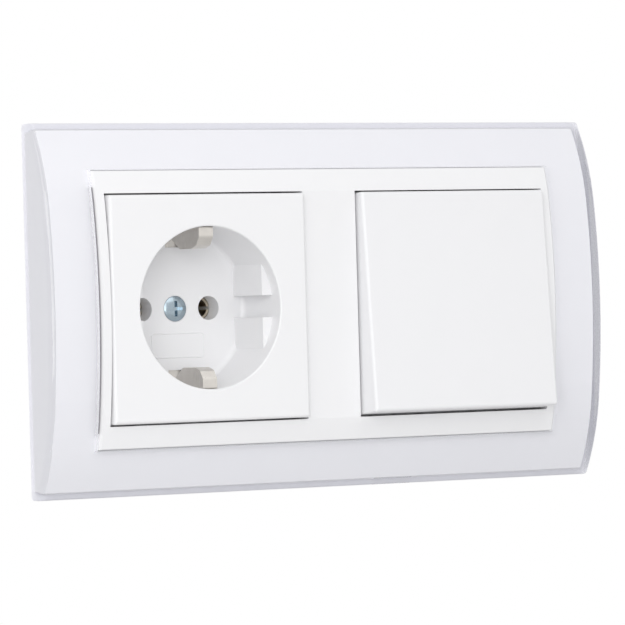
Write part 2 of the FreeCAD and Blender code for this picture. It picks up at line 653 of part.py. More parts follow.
def inner_frame():
    """Raised white frame with two square windows, on a flange that carries the shells."""
    body = new_body("inner_frame")
    raised = Drawing(body, "raised", "YZ", "-inner_width / 2")
    raised.arch("inner_lower", "inner_height / 2").pad("inner_width")
    dress(body, "Chamfer", "inner_bevel", lambda b: b.YMax < FRONT_EDGES and b.XLength < TOLERANCE)
    dress(body, "Fillet", "inner_arris", lambda b: b.YMax < FRONT_EDGES and b.YLength < TOLERANCE
          and b.ZLength < TOLERANCE)
    flange = Drawing(body, "flange", "XZ")
    flange.box("-flange_half_width", "flange_half_width", "-flange_half_height", "flange_half_height")
    flange.pad("flange_depth")
    room = Drawing(body, "ring_recess", "XZ")
    room.box("-(gang_pitch + ring_size) / 2 - ring_room", "(gang_pitch + ring_size) / 2 + ring_room",
             "-ring_size / 2 - ring_room", "ring_size / 2 + ring_room")
    room.cut("ring_top")
    windows = Drawing(body, "windows", "XZ")
    for x in ("socket_x", "switch_x"):
        windows.square("aperture / 2", x)
    windows.cut(f"frame_depth + {BEYOND}")
    bar = Drawing(body, "bar_face", "XZ", "bar_face")
    bar.box("socket_x + aperture / 2", "switch_x - aperture / 2", "-aperture / 2", "aperture / 2")
    bar.cut("frame_depth - (bar_face)")
    inner_edge = "aperture / 2 + inner_wall"
    hollow = Drawing(body, "bar_hollow", "XZ")
    hollow.box(f"socket_x + {inner_edge}", f"switch_x - ({inner_edge})", "-aperture / 2", "aperture / 2")
    hollow.cut("bar_face - inner_wall")
    channels = Drawing(body, "channels", "XZ")
    for sign in ("", "-"):
        low, high = f"{sign}({inner_edge})", f"{sign}(inner_height / 2 - inner_wall)"
        pair = (low, high) if sign == "" else (high, low)
        channels.box("-inner_width / 2 + 2 * inner_wall", "inner_width / 2 - 2 * inner_wall", *pair)
    channels.cut("channel_depth")
    return body


# Pieces that both inserts share

def support_ring(label, x):
    """Square sheet steel ring that the box screws hold against the wall."""
    body = new_body(label)
    place(body, x)
    Drawing(body, label + "_sheet", "XZ").square("ring_size / 2").pad("ring_sheet")
    dress(body, "Fillet", "ring_corner", lambda b: b.XLength < TOLERANCE and b.ZLength < TOLERANCE)
    Drawing(body, label + "_opening", "XZ").circle("0", "0", "ring_hole").cut("ring_sheet")
    slots = Drawing(body, label + "_slots", "XZ")
    for sign in ("", "-"):
        slots.slot("0", f"{sign}screw_pitch / 2", "screw_slot", "screw_slot_half")
    slots.cut("ring_sheet")
    holes = Drawing(body, label + "_rivet_holes", "XZ")
    for across, up in (("", ""), ("", "-"), ("-", ""), ("-", "-")):
        holes.circle(f"{across}rivet_place", f"{up}rivet_place", "rivet_shank + seat_gap / 2")
    holes.cut("ring_sheet")
    return body


def ring_rivets(label, x):
    """Four rivets that hold the ring on the insulating body."""
    rivets = []
    for across, up in (("", ""), ("", "-"), ("-", ""), ("-", "-")):
        spot = (f"{x} + {across}rivet_place", f"{up}rivet_place")
        shank = rod(label + "_shank", *spot, "rivet_shank", ("-rivet_length", "ring_sheet"))
        head = rod(label + "_head", *spot, "rivet_head", ("ring_sheet", "ring_sheet + rivet_head_height"))
        rivets.append(join(label + "_rivet", [shank, head]))
    group = keep(doc.addObject("Part::Compound", label))
    group.Links = rivets
    return group


class Terminal:
    """A screwless terminal: a bar, a clamp spring, two wire entries and a release lever.

    The terminal's axis runs along Y through (x, z). Its bar lies on the side of z that
    `side` gives, "" for above and "-" for below, and its chamber ends at depth `rear`.
    """

    def __init__(self, name, x, z, rear, side):
        self.name = name
        self.x = x
        self.z = z
        self.rear = rear
        self.side = side

    def off(self, distance):
        """Z at a distance from the terminal's axis towards its bar."""
        return f"{self.z} + {self.side}({distance})"

    def spring(self):
        """Folded leaf spring that presses a wire against the bar."""
        path = [
            (f"{self.rear} + clamp_lift", self.off("-clamp_back")),
            (f"{self.rear} + clamp_length", self.off("-clamp_back")),
            (f"{self.rear} + clamp_length", self.off("-clamp_back + clamp_fold")),
            (f"{self.rear} + clamp_tip", self.off("clamp_bar - clamp_sheet / 2 - clamp_air")),
        ]
        name = self.name + "_clamp_spring"
        return keep(strip(name, path, "clamp_sheet", "contact_width", "clamp_sheet", self.x))

    def lever(self, body_depth):
        """Lever that is pushed in from the rear to bend the spring away from the wire."""
        body = new_body(self.name + "_release_lever")
        place(body, self.x, "0", self.z)
        low, high = f"{self.side}(-lever_low)", f"{self.side}(-lever_high)"
        pair = (low, high) if self.side == "" else (high, low)
        shank = Drawing(body, self.name + "_lever", "XZ", f"-{body_depth} - lever_proud")
        shank.box("-lever_half", "lever_half", *pair)
        shank.pad(f"{self.rear} + lever_reach + {body_depth} + lever_proud")
        return body

    def entries(self, drawing, x):
        """Draw the two wire entries on a body's rear; x is the body's axis."""
        for sign in ("", "-"):
            drawing.circle(f"{self.x} - ({x}) + {sign}wire_pitch / 2", self.off("wire_place"), "wire_hole")

    def lever_slot(self, drawing, x):
        """Draw the slot that the lever runs in."""
        middle = f"{self.x} - ({x})"
        low, high = self.off("-lever_low - lever_gap"), self.off("-lever_high + lever_gap")
        pair = (low, high) if self.side == "" else (high, low)
        drawing.box(f"{middle} - lever_half - lever_gap", f"{middle} + lever_half + lever_gap", *pair)

    def chamber(self, drawing, x):
        """Draw the chamber that holds the spring and the bar."""
        middle = f"{self.x} - ({x})"
        low = self.off("-clamp_back - clamp_sheet / 2 - seat_gap")
        high = self.off("clamp_bar + contact_sheet + chamber_gap")
        pair = (low, high) if self.side == "" else (high, low)
        drawing.box(f"{middle} - chamber_half", f"{middle} + chamber_half", *pair)


SOCKET_TERMINALS = [
    Terminal("line", "socket_x - pin_pitch / 2", "-pole_terminal", "socket_rear", ""),
    Terminal("neutral", "socket_x + pin_pitch / 2", "-pole_terminal", "socket_rear", ""),
    Terminal("earth", "socket_x", "earth_terminal", "socket_rear", "-"),
]
SWITCH_TERMINALS = [
    Terminal("common", "switch_x - side_terminal", "0", "switch_rear", ""),
    Terminal("upper", "switch_x", "end_terminal", "switch_rear", "-"),
    Terminal("lower", "switch_x", "-(end_terminal)", "switch_rear", ""),
]


def base_block(body, label, depth):
    """Pad an insert's insulating body: a wide front part and a narrow rear part."""
    wide = Drawing(body, label + "_wide", "XZ", "-base_shoulder")
    wide.octagon("base_half", "base_corner").pad("base_shoulder")
    narrow = Drawing(body, label + "_narrow", "XZ", f"-{depth}")
    narrow.octagon("base_half - base_step", "base_corner")
    narrow.pad(f"{depth} - base_shoulder")
    holes = Drawing(body, label + "_rivet_bores", "XZ", "-rivet_length - seat_gap")
    for across, up in (("", ""), ("", "-"), ("-", ""), ("-", "-")):
        holes.circle(f"{across}rivet_place", f"{up}rivet_place", "rivet_shank + seat_gap / 2")
    holes.cut("rivet_length + seat_gap")


def rear_openings(body, label, terminals, x, depth):
    """Cut the wire entries and lever slots through an insert's rear wall."""
    entries = Drawing(body, label + "_wire_entries", "XZ", f"-{depth}")
    for terminal in terminals:
        terminal.entries(entries, x)
    entries.cut("base_wall")
    rear, hole = value(depth), value("2 * wire_hole")
    dress(body, "Chamfer", "wire_funnel",
          lambda b: near(b.YMin, rear) and near(b.YMax, rear) and near(b.XLength, hole))
    slots = Drawing(body, label + "_lever_slots", "XZ", f"-{depth}")
    for terminal in terminals:
        terminal.lever_slot(slots, x)
    slots.cut("base_wall")
    gauge = Drawing(body, label + "_strip_gauge", "XZ", f"-{depth}")
    gauge.box("-gauge_length / 2", "gauge_length / 2", "-gauge_half", "gauge_half")
    gauge.cut("gauge_depth")


# Socket insert

def socket_cover():
    """Centre plate and cup in one moulding."""
    body = new_body("socket_cover")
    place(body, "socket_x")
    plate = Drawing(body, "plate", "XZ", "plate_front - plate_skirt")
    plate.square("plate_half").pad("plate_skirt")
    front = value("plate_front")
    dress(body, "Fillet", "plate_arris", lambda b: near(b.YMin, -front) and near(b.YMax, -front))
    dress(body, "Fillet", "plate_corner", lambda b: b.XLength < TOLERANCE and b.ZLength < TOLERANCE)
    skirt = Drawing(body, "plate_hollow", "XZ", "plate_front - plate_skirt")
    skirt.square("plate_half - plate_skirt_wall").cut("plate_skirt - plate_wall")
    cup = Drawing(body, "cup_outside", "XZ", "cup_back")
    cup.circle("0", "0", "cup_outer").pad("plate_front - plate_wall / 2 - cup_back")
    bowl = Drawing(body, "cup_inside", "XZ", "floor_depth")
    bowl.circle("0", "0", "cup_radius").cut("cup_depth")
    mouth = value("cup_radius")
    dress(body, "Fillet", "cup_lip", lambda b: near(b.YMin, -front) and near(b.YMax, -front)
          and near(b.ZMax, mouth))
    floor = value("-(floor_depth)")
    dress(body, "Fillet", "cup_root", lambda b: near(b.YMin, floor) and near(b.YMax, floor))
    guides = Drawing(body, "guide_blocks", "XZ", "cup_back + cup_wall / 2")
    outer = "cup_radius + cup_wall / 2"
    groove = "guide_groove / 2"
    top = "sqrt(cup_radius^2 - guide_flat^2)"
    for across in ("", "-"):
        for up in ("", "-"):
            guides.polygon([
                (f"{across}guide_flat", f"{up}{groove}"),
                (f"{across}sqrt(({outer})^2 - ({groove})^2)", f"{up}{groove}"),
                (f"{across}sqrt(({outer})^2 - ({top})^2)", f"{up}{top}"),
                (f"{across}guide_flat", f"{up}{top}"),
            ])
    guides.pad("plate_front - guide_low - cup_back - cup_wall / 2")
    collars = Drawing(body, "pin_collars", "XZ", "cup_back - pin_collar")
    holes = Drawing(body, "pin_holes", "XZ", "cup_back - pin_collar")
    for sign in ("", "-"):
        collars.circle(f"{sign}pin_pitch / 2", "0", "collar_radius")
        holes.circle(f"{sign}pin_pitch / 2", "0", "pin_hole")
    collars.pad("pin_collar + cup_wall / 2")
    holes.cut("pin_collar + cup_wall")
    slots = Drawing(body, "clip_slots", "XZ", "cup_back")
    for low, high in (("clip_slot_inner", f"cup_outer + {BEYOND}"),
                      (f"-(cup_outer) - {BEYOND}", "-(clip_slot_inner)")):
        slots.box("-clip_slot / 2", "clip_slot / 2", low, high)
    slots.cut("plate_front - clip_slot_low - cup_back")
    seat = Drawing(body, "screw_hole", "XZ", "cup_back")
    seat.circle("0", "0", "screw_radius + screw_room").cut("cup_wall")
    sink = Drawing(body, "screw_sink", "YZ")
    sink_radius = "screw_head + seat_gap"
    sink.polygon([
        ("-(floor_depth) - seat_gap", "0"),
        ("-(floor_depth) - seat_gap", sink_radius),
        ("-(floor_depth) + screw_rim", sink_radius),
        ("-(cup_back)", "screw_radius + screw_room"),
        ("-(cup_back)", "0"),
    ])
    sink.turn("Groove")
    return body


def cover_screw():
    """Raised countersunk screw with a cross recess, in the middle of the cup."""
    body = new_body("cover_screw")
    place(body, "socket_x")
    outline = Drawing(body, "screw_outline", "YZ")
    outline.polygon([
        ("-(floor_depth) - screw_rise", "0"),
        ("-(floor_depth) - screw_rise", "screw_flat"),
        ("-(floor_depth)", "screw_head"),
        ("-(floor_depth) + screw_rim", "screw_head"),
        ("-(cup_back)", "screw_radius"),
        ("-(floor_depth) + screw_length - screw_radius", "screw_radius"),
        ("-(floor_depth) + screw_length", "screw_radius / 2"),
        ("-(floor_depth) + screw_length", "0"),
    ])
    outline.turn("Revolution")
    front = value("-(floor_depth) - screw_rise")
    dress(body, "Fillet", "screw_dome", lambda b: near(b.YMin, front) and near(b.YMax, front))
    arm, thin = "recess_arm", "recess_half"
    cross = Drawing(body, "cross_recess", "XZ", "floor_depth + screw_rise - recess_depth")
    cross.polygon([
        (arm, f"-{thin}"), (arm, thin), (thin, thin), (thin, arm), (f"-{thin}", arm), (f"-{thin}", thin),
        (f"-{arm}", thin), (f"-{arm}", f"-{thin}"), (f"-{thin}", f"-{thin}"), (f"-{thin}", f"-{arm}"),
        (thin, f"-{arm}"), (thin, f"-{thin}"),
    ])
    cross.cut("recess_depth + seat_gap")
    return body


def socket_base():
    """Insulating body of the socket: a bowl round the cup and the contact chambers."""
    body = new_body("socket_base")
    place(body, "socket_x")
    base_block(body, "socket_base", "socket_depth")
    Drawing(body, "bowl", "XZ", "bowl_floor").circle("0", "0", "cup_outer + bowl_gap").cut("-(bowl_floor)")
    wells = Drawing(body, "collar_wells", "XZ", "sleeve_front")
    for sign in ("", "-"):
        wells.circle(f"{sign}pin_pitch / 2", "0", "collar_radius + seat_gap")
    wells.cut("bowl_floor - (sleeve_front)")
    chambers = Drawing(body, "pole_chambers", "XZ", "socket_rear")
    low = "-pole_terminal - clamp_back - clamp_sheet / 2 - seat_gap"
    for sign in ("", "-"):
        middle = f"{sign}pin_pitch / 2"
        chambers.box(f"{middle} - chamber_half", f"{middle} + chamber_half", low, "chamber_room")
    chambers.cut("bowl_floor - (socket_rear)")
    earth = Drawing(body, "earth_chamber", "XZ", "socket_rear")
    SOCKET_TERMINALS[2].chamber(earth, "socket_x")
    earth.cut("bowl_floor - (socket_rear)")
    bore = Drawing(body, "screw_bore", "XZ", "floor_depth - screw_length - screw_end_room")
    bore.circle("0", "0", "screw_radius + screw_room")
    bore.cut("bowl_floor - (floor_depth) + screw_length + screw_end_room")
    rear_openings(body, "socket", SOCKET_TERMINALS, "socket_x", "socket_depth")
    return body


def earth_strap():
    """Earth strip across the body, with a sprung clip at each end and a terminal bar."""
    half = "strap_sheet / 2"
    middle = f"strap_front - {half}"
    pieces = []
    for sign in ("", "-"):
        fold = [
            (f"clip_front - {half}", f"{sign}(clip_root - {half})"),
            (f"clip_front - {half}", f"{sign}(clip_root - clip_brow)"),
            ("clip_front - clip_cheek", f"{sign}(clip_reach + {half} + clip_step)"),
            ("clip_front - clip_press", f"{sign}(clip_reach + {half})"),
            ("clip_front - clip_press_end", f"{sign}(clip_reach + {half})"),
            ("clip_front - clip_tail", f"{sign}(clip_reach + clip_flare)"),
        ]
        leg = [(middle, "0"), (middle, f"{sign}(clip_root - {half})")]
        pieces.append(strip("clip", leg + fold, "strap_sheet", "strap_width", "clip_bend", "socket_x"))
        cheek = [("clip_front - clip_tail", f"{sign}(clip_root - {half})")] + fold
        for edge in ("socket_x - strap_width / 2", "socket_x + strap_width / 2 - strap_sheet"):
            pieces.append(web("clip_cheek", cheek, "strap_sheet", f"clip_bend + {half}", edge))
    pieces.append(rod("strap_eye_plate", "socket_x", "0", "strap_eye", ("strap_back", "strap_front")))
    terminal = SOCKET_TERMINALS[2]
    bar_z = terminal.off("clamp_bar + strap_sheet / 2")
    path = [(middle, bar_z), ("socket_rear + bar_lift", bar_z)]
    pieces.append(strip("earth_bar", path, "strap_sheet", "strap_width", "clip_bend", "socket_x"))
    hole = rod("strap_hole", "socket_x", "0", "screw_radius + seat_gap / 2", ("strap_back", "strap_front"))
    return keep(subtract("earth_strap", join("strap_sheet", pieces), [hole]))


def pole_contact(terminal):
    """Rolled sleeve for a plug pin, slit on both sides, with the bar of its terminal."""
    name, x = terminal.name, terminal.x
    ends = ("sleeve_back", "sleeve_front")
    tube = rod(name + "_tube", x, "0", "sleeve_radius", ends)
    bore = rod(name + "_bore", x, "0", "sleeve_radius - contact_sheet", ends)
    slit = box(name + "_slit", (f"{x} - sleeve_radius", f"{x} + sleeve_radius"),
               ("sleeve_back + sleeve_root", "sleeve_front"), ("-sleeve_slit / 2", "sleeve_slit / 2"))
    sleeve = subtract(name + "_sleeve", tube, [bore, slit])
    bar_z = terminal.off("clamp_bar + contact_sheet / 2")
    path = [("sleeve_back", "sleeve_radius"), ("sleeve_back", bar_z), ("sleeve_back + pole_bar", bar_z)]
    bar = strip(name + "_bar", path, "contact_sheet", "contact_width", "contact_bend", x)
    return keep(join(name + "_contact", [sleeve, bar]))


# Switch insert

def on_pivot(item):
    """Hang an object that is drawn round the rocker's pivot: it leans, lower edge out."""
    item.Placement = Placement(Vector(), Rotation(Vector(1, 0, 0), -value("rocker_tilt")))
    item.setExpression("Placement.Rotation.Angle", tie("-rocker_tilt"))
    place(item, "switch_x", "rocker_pivot")


def rocker():
    """Large rocking cover: a shallow tray with clip walls round the cradle."""
    body = new_body("rocker")
    on_pivot(body)
    back = "face_level - rocker_skirt"
    slab = Drawing(body, "rocker_outside", "XZ", back)
    pad = slab.square("rocker_half").pad("rocker_skirt")
    pad.setExpression("TaperAngle", tie("-atan(rocker_draft / rocker_skirt)"))
    face = value("face_level")
    dress(body, "Fillet", "rocker_arris", lambda b: near(b.YMin, -face) and near(b.YMax, -face))
    upright = value("rocker_skirt / 2")
    dress(body, "Fillet", "rocker_corner", lambda b: b.YLength > upright)
    hollow = Drawing(body, "rocker_hollow", "XZ", back)
    hollow.square("rocker_half - rocker_draft - rocker_wall").cut("rocker_skirt - rocker_wall")
    walls = Drawing(body, "clip_walls", "XZ", "-clip_wall_low")
    side = "cradle_half_width - clip_wall_inset"
    low, high = "cradle_half_height + seat_gap", "cradle_half_height + seat_gap + clip_wall"
    walls.box(f"-({side})", side, low, high)
    walls.box(f"-({side})", side, f"-({high})", f"-({low})")
    walls.pad("face_level - rocker_wall / 2 + clip_wall_low")
    return body


def rocker_cradle():
    """Pivoted carrier under the rocker, with the plunger's tube."""
    body = new_body("rocker_cradle")
    on_pivot(body)
    block = Drawing(body, "cradle_block", "XZ", "-cradle_low")
    block.box("-cradle_half_width", "cradle_half_width", "-cradle_half_height", "cradle_half_height")
    block.pad("cradle_high + cradle_low")
    hollow = Drawing(body, "cradle_hollow", "XZ", "-cradle_low + cradle_wall")
    hollow.box("-cradle_half_width + cradle_wall", "cradle_half_width - cradle_wall",
               "-cradle_half_height + cradle_wall", "cradle_half_height - cradle_wall")
    hollow.cut("cradle_high + cradle_low")
    tube = Drawing(body, "plunger_tube", "XZ", "plunger_out - (tip_level)")
    tube.circle("0", "0", "plunger_tube").pad("cradle_high + tip_level - plunger_out")
    bore = Drawing(body, "plunger_bore", "XZ", "plunger_out - (tip_level)")
    bore.circle("0", "0", "plunger_radius + plunger_room")
    bore.cut("cradle_high + tip_level - plunger_out - cradle_wall")
    pins = Drawing(body, "pivot_pins", "YZ", "cradle_half_width - cradle_wall / 2")
    pins.circle("0", "0", "pivot_pin").pad("cradle_wall / 2 + ear_gap + ear_wall")
    other = Drawing(body, "other_pivot_pin", "YZ", "-cradle_half_width - ear_gap - ear_wall")
    other.circle("0", "0", "pivot_pin").pad("cradle_wall / 2 + ear_gap + ear_wall")
    return body


def plunger():
    """Round-nosed pin that slides in the cradle and flips the moving contact."""
    body = new_body("plunger")
    on_pivot(body)
    shank = Drawing(body, "plunger_shank", "XZ", "-tip_level")
    shank.circle("0", "0", "plunger_radius").pad("plunger_length")
    tip = value("tip_level")
    dress(body, "Fillet", "plunger_nose", lambda b: near(b.YMin, tip) and near(b.YMax, tip))
    return body


def plunger_spring():
    """Coil spring behind the plunger, wound on the cradle's tilted axis."""
    start = "(plunger_length - tip_level + spring_wire)"
    height = f"(cradle_high - cradle_wall - spring_wire - {start} - seat_gap)"
    coil_radius = "plunger_radius - spring_wire - seat_gap"
    coil = doc.addObject("Part::Helix", "spring_line")
    bind(coil, Radius=coil_radius, Height=height, Pitch=f"{height} / spring_turns")
    section = doc.addObject("Part::Circle", "spring_section")
    section.Placement = Placement(Vector(), Rotation(Vector(1, 0, 0), 90))
    bind(section, Radius="spring_wire")
    section.setExpression("Placement.Base.x", tie(coil_radius))
    wire = doc.addObject("Part::Sweep", "plunger_spring")
    wire.Sections = [section]
    wire.Spine = (coil, ["Edge1"])
    wire.Solid = True
    wire.Frenet = True
    wire.Placement = Placement(Vector(), Rotation(Vector(1, 0, 0), 90 - value("rocker_tilt")))
    wire.setExpression("Placement.Rotation.Angle", tie("90 - rocker_tilt"))
    place(wire, "switch_x", f"rocker_pivot + {start} * cos(rocker_tilt)", f"{start} * sin(rocker_tilt)")
    return keep(wire)


def switch_top():
    """Front plate of the switch body, with two ears that carry the cradle."""
    body = new_body("switch_top")
    place(body, "switch_x")
    plate = Drawing(body, "top_disc", "XZ", "seat_gap / 2")
    plate.circle("0", "0", "ring_hole - top_gap").pad("top_plate")
    ears = Drawing(body, "ears", "XZ", "seat_gap / 2")
    inner = "cradle_half_width + ear_gap"
    for low, high in ((inner, f"{inner} + ear_wall"), (f"-({inner}) - ear_wall", f"-({inner})")):
        ears.box(low, high, "-ear_half", "ear_half")
    ears.pad("rocker_pivot + pivot_pin + ear_crown")
    bores = Drawing(body, "ear_bores", "YZ", f"-({inner}) - ear_wall - {BEYOND}")
    bores.circle("-rocker_pivot", "0", "pivot_pin + pivot_room")
    bores.cut(f"2 * ({inner} + ear_wall + {BEYOND})")
    way = Drawing(body, "plunger_way", "XZ")
    way.box("-plunger_tube - way_side", "plunger_tube + way_side",
            "-plunger_tube - way_end", "plunger_tube + way_end")
    way.cut("top_plate + seat_gap")
    return body


def switch_base():
    """Insulating body of the switch, with the mechanism's well and three terminals."""
    body = new_body("switch_base")
    place(body, "switch_x")
    base_block(body, "switch_base", "switch_depth")
    well_floor = "bar_middle - contact_sheet / 2 - seat_gap"
    passages = Drawing(body, "end_passages", "XZ", well_floor)
    reach = "(end_terminal - clamp_bar)"
    passages.box("-(chamber_half)", "chamber_half", f"-{reach}", reach)
    passages.cut(f"-({well_floor})")
    well = Drawing(body, "mechanism_well", "XZ", well_floor)
    well.box("-(chamber_half) - well_side", "chamber_half + well_side",
             "-contact_half - well_end", "contact_half + well_end")
    well.cut(f"-({well_floor})")
    arm = Drawing(body, "common_passage", "XZ", well_floor)
    arm.box("-(side_terminal) - chamber_half", "0", "-clamp_back - clamp_sheet / 2 - seat_gap",
            "clamp_bar + contact_sheet + chamber_gap")
    arm.cut(f"-({well_floor})")
    chambers = Drawing(body, "switch_chambers", "XZ", "switch_rear")
    SWITCH_TERMINALS[0].chamber(chambers, "switch_x")
    chambers.cut(f"{well_floor} - (switch_rear)")
    ends = Drawing(body, "end_chambers", "XZ", "switch_rear")
    for terminal in SWITCH_TERMINALS[1:]:
        terminal.chamber(ends, "switch_x")
    ends.cut("-(switch_rear) - end_roof")
    rear_openings(body, "switch", SWITCH_TERMINALS, "switch_x", "switch_depth")
    return body


def see_saw_contact():
    """Moving contact: a strip that rocks on the common terminal, with two contact points."""
    body = new_body("see_saw_contact")
    body.Placement = Placement(Vector(), Rotation(Vector(1, 0, 0), value("contact_tilt")))
    body.setExpression("Placement.Rotation.Angle", tie("contact_tilt"))
    place(body, "switch_x", "-contact_axis")
    leaf = Drawing(body, "leaf", "XZ", "-contact_leaf / 2")
    leaf.box("-contact_width / 2", "contact_width / 2", "-contact_half", "contact_half").pad("contact_leaf")
    points = Drawing(body, "moving_points", "XZ", "-contact_leaf / 2 - point_height")
    points.circle("0", "point_place", "point_radius").circle("0", "-point_place", "point_radius")
    points.pad("point_height + contact_leaf / 2")
    return body


def end_contact(terminal, up):
    """Fixed contact at one end of the moving one, with its terminal bar."""
    bar_z = terminal.off("clamp_bar + contact_sheet / 2")
    path = [("bar_middle", f"{up}(point_place - end_lip)"), ("bar_middle", bar_z),
            ("switch_rear + bar_lift", bar_z)]
    bar = strip(terminal.name + "_bar", path, "contact_sheet", "contact_width", "end_bend", "switch_x")
    point = rod(terminal.name + "_point", "switch_x", f"{up}point_place", "point_radius",
                ("bar_front - contact_sheet / 2", "point_front"))
    return keep(join(terminal.name + "_contact", [bar, point]))


def common_terminal():
    """Bracket under the moving contact, with the common terminal's bar."""
    half = "contact_width / 2"
    left = f"switch_x - side_terminal - {half}"
    right = f"switch_x + {half}"
    under = (f"switch_x - {half}", right)
    low, high = "clamp_bar", "clamp_bar + contact_sheet"
    back, front = "bar_front - contact_sheet", "bar_front"
    web_front = "-contact_axis - contact_leaf / 2 - contact_half * sin(contact_tilt) / 2 - point_gap"
    bar = box("common_bar", (left, f"{left} + contact_width"), ("switch_rear + bar_lift", web_front),
              (low, high))
    link = box("common_link", (left, right), (back, web_front), (low, high))
    plate = box("common_plate", under, (back, front), (f"-{low}", high))
    ridge = box("common_ridge", under, (front, "-contact_axis - contact_leaf / 2 - point_gap / 2"),
                ("-contact_sheet", "contact_sheet"))
    return keep(join("common_terminal", [bar, link, plate, ridge]))


clear_cover()
white_backing()
inner_frame()

socket_cover()
cover_screw()
support_ring("socket_ring", "socket_x")
ring_rivets("socket_ring_rivets", "socket_x")
socket_base()
earth_strap()
for pole in SOCKET_TERMINALS[:2]:
    pole_contact(pole)

rocker()
rocker_cradle()
plunger()
plunger_spring()
see_saw_contact()
common_terminal()
for way, sign in zip(SWITCH_TERMINALS[1:], ("", "-")):
    end_contact(way, sign)
support_ring("switch_ring", "switch_x")
ring_rivets("switch_ring_rivets", "switch_x")
switch_top()
switch_base()

for group, rear in ((SOCKET_TERMINALS, "socket_depth"), (SWITCH_TERMINALS, "switch_depth")):
    for unit in group:
        unit.spring()
        unit.lever(rear)

doc.recompute()

for item in doc.Objects:
    if {"Invalid", "Error"} & set(item.State):
        raise RuntimeError(f"{item.Label}: {item.State}")
for piece in PIECES:
    if piece.Shape.isNull() or not piece.Shape.isValid():
        raise RuntimeError(f"{piece.Label}: no valid shape")

os.makedirs("parts", exist_ok=True)
for piece in PIECES:
    piece.Shape.exportStep(f"parts/{piece.Label}.step")
    print(piece.Label, len(piece.Shape.Solids), round(piece.Shape.Volume, 1))
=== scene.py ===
import logging
import math
from collections.abc import Iterable, Sequence
from dataclasses import dataclass, field
from enum import Enum

import bmesh
import bpy
from mathutils import Matrix, Vector


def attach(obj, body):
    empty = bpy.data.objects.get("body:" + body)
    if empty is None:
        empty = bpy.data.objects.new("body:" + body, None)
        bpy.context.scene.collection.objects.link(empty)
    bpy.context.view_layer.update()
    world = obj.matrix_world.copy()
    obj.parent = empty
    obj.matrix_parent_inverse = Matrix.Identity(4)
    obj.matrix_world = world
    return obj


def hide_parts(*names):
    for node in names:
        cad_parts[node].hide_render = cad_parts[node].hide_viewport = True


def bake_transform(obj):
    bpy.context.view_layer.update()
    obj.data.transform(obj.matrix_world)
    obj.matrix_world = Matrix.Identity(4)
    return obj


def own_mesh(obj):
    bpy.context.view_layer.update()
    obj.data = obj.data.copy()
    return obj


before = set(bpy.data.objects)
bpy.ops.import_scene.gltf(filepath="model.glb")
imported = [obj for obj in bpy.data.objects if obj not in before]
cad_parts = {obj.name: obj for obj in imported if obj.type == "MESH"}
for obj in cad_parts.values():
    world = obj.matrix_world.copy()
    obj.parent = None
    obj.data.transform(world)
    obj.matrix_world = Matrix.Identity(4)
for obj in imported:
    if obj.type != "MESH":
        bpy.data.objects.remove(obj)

# The looks of a flush-mounted wall unit: a clear and white cover frame with an earthed
# socket on the left and a rocker switch on the right. X runs to the right, Z up, and the
# room is on the -Y side of the wall plane Y = 0. Lengths are in metres.

LOG = logging.getLogger("wall_unit")
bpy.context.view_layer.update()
MM = 0.001
NOISE_LOW, NOISE_HIGH = 0.3, 0.7  # nearly all values of a noise lie between these
ROUGHNESS_SWING = 0.1  # share by which the fine marks change a solid finish's roughness
POLISH_SWING = 0.2  # the same for the clear moulding
GRIT_SWING = 0.04  # share by which the ground edge's colour varies
ROLLING = (1.0, 1.0, 0.03)  # rolled marks are drawn out along Z
RING_SCALE = 0.05  # scale of the turned rings, times their size
RING_WANDER = 1.5  # how far the turned rings stray from true circles
LEAST_CORNER = 0.02 * MM  # least rounding that a corner keeps when it is inset

Colour = tuple[float, float, float]
Point = tuple[float, float, float]
Span = tuple[float, float]
NodeSocket = bpy.types.NodeSocket


class Grain(Enum):
    """The kind of fine marks that a surface carries."""

    MOULDED = "moulded"
    SPARKED = "sparked"
    ROLLED = "rolled"
    TURNED = "turned"


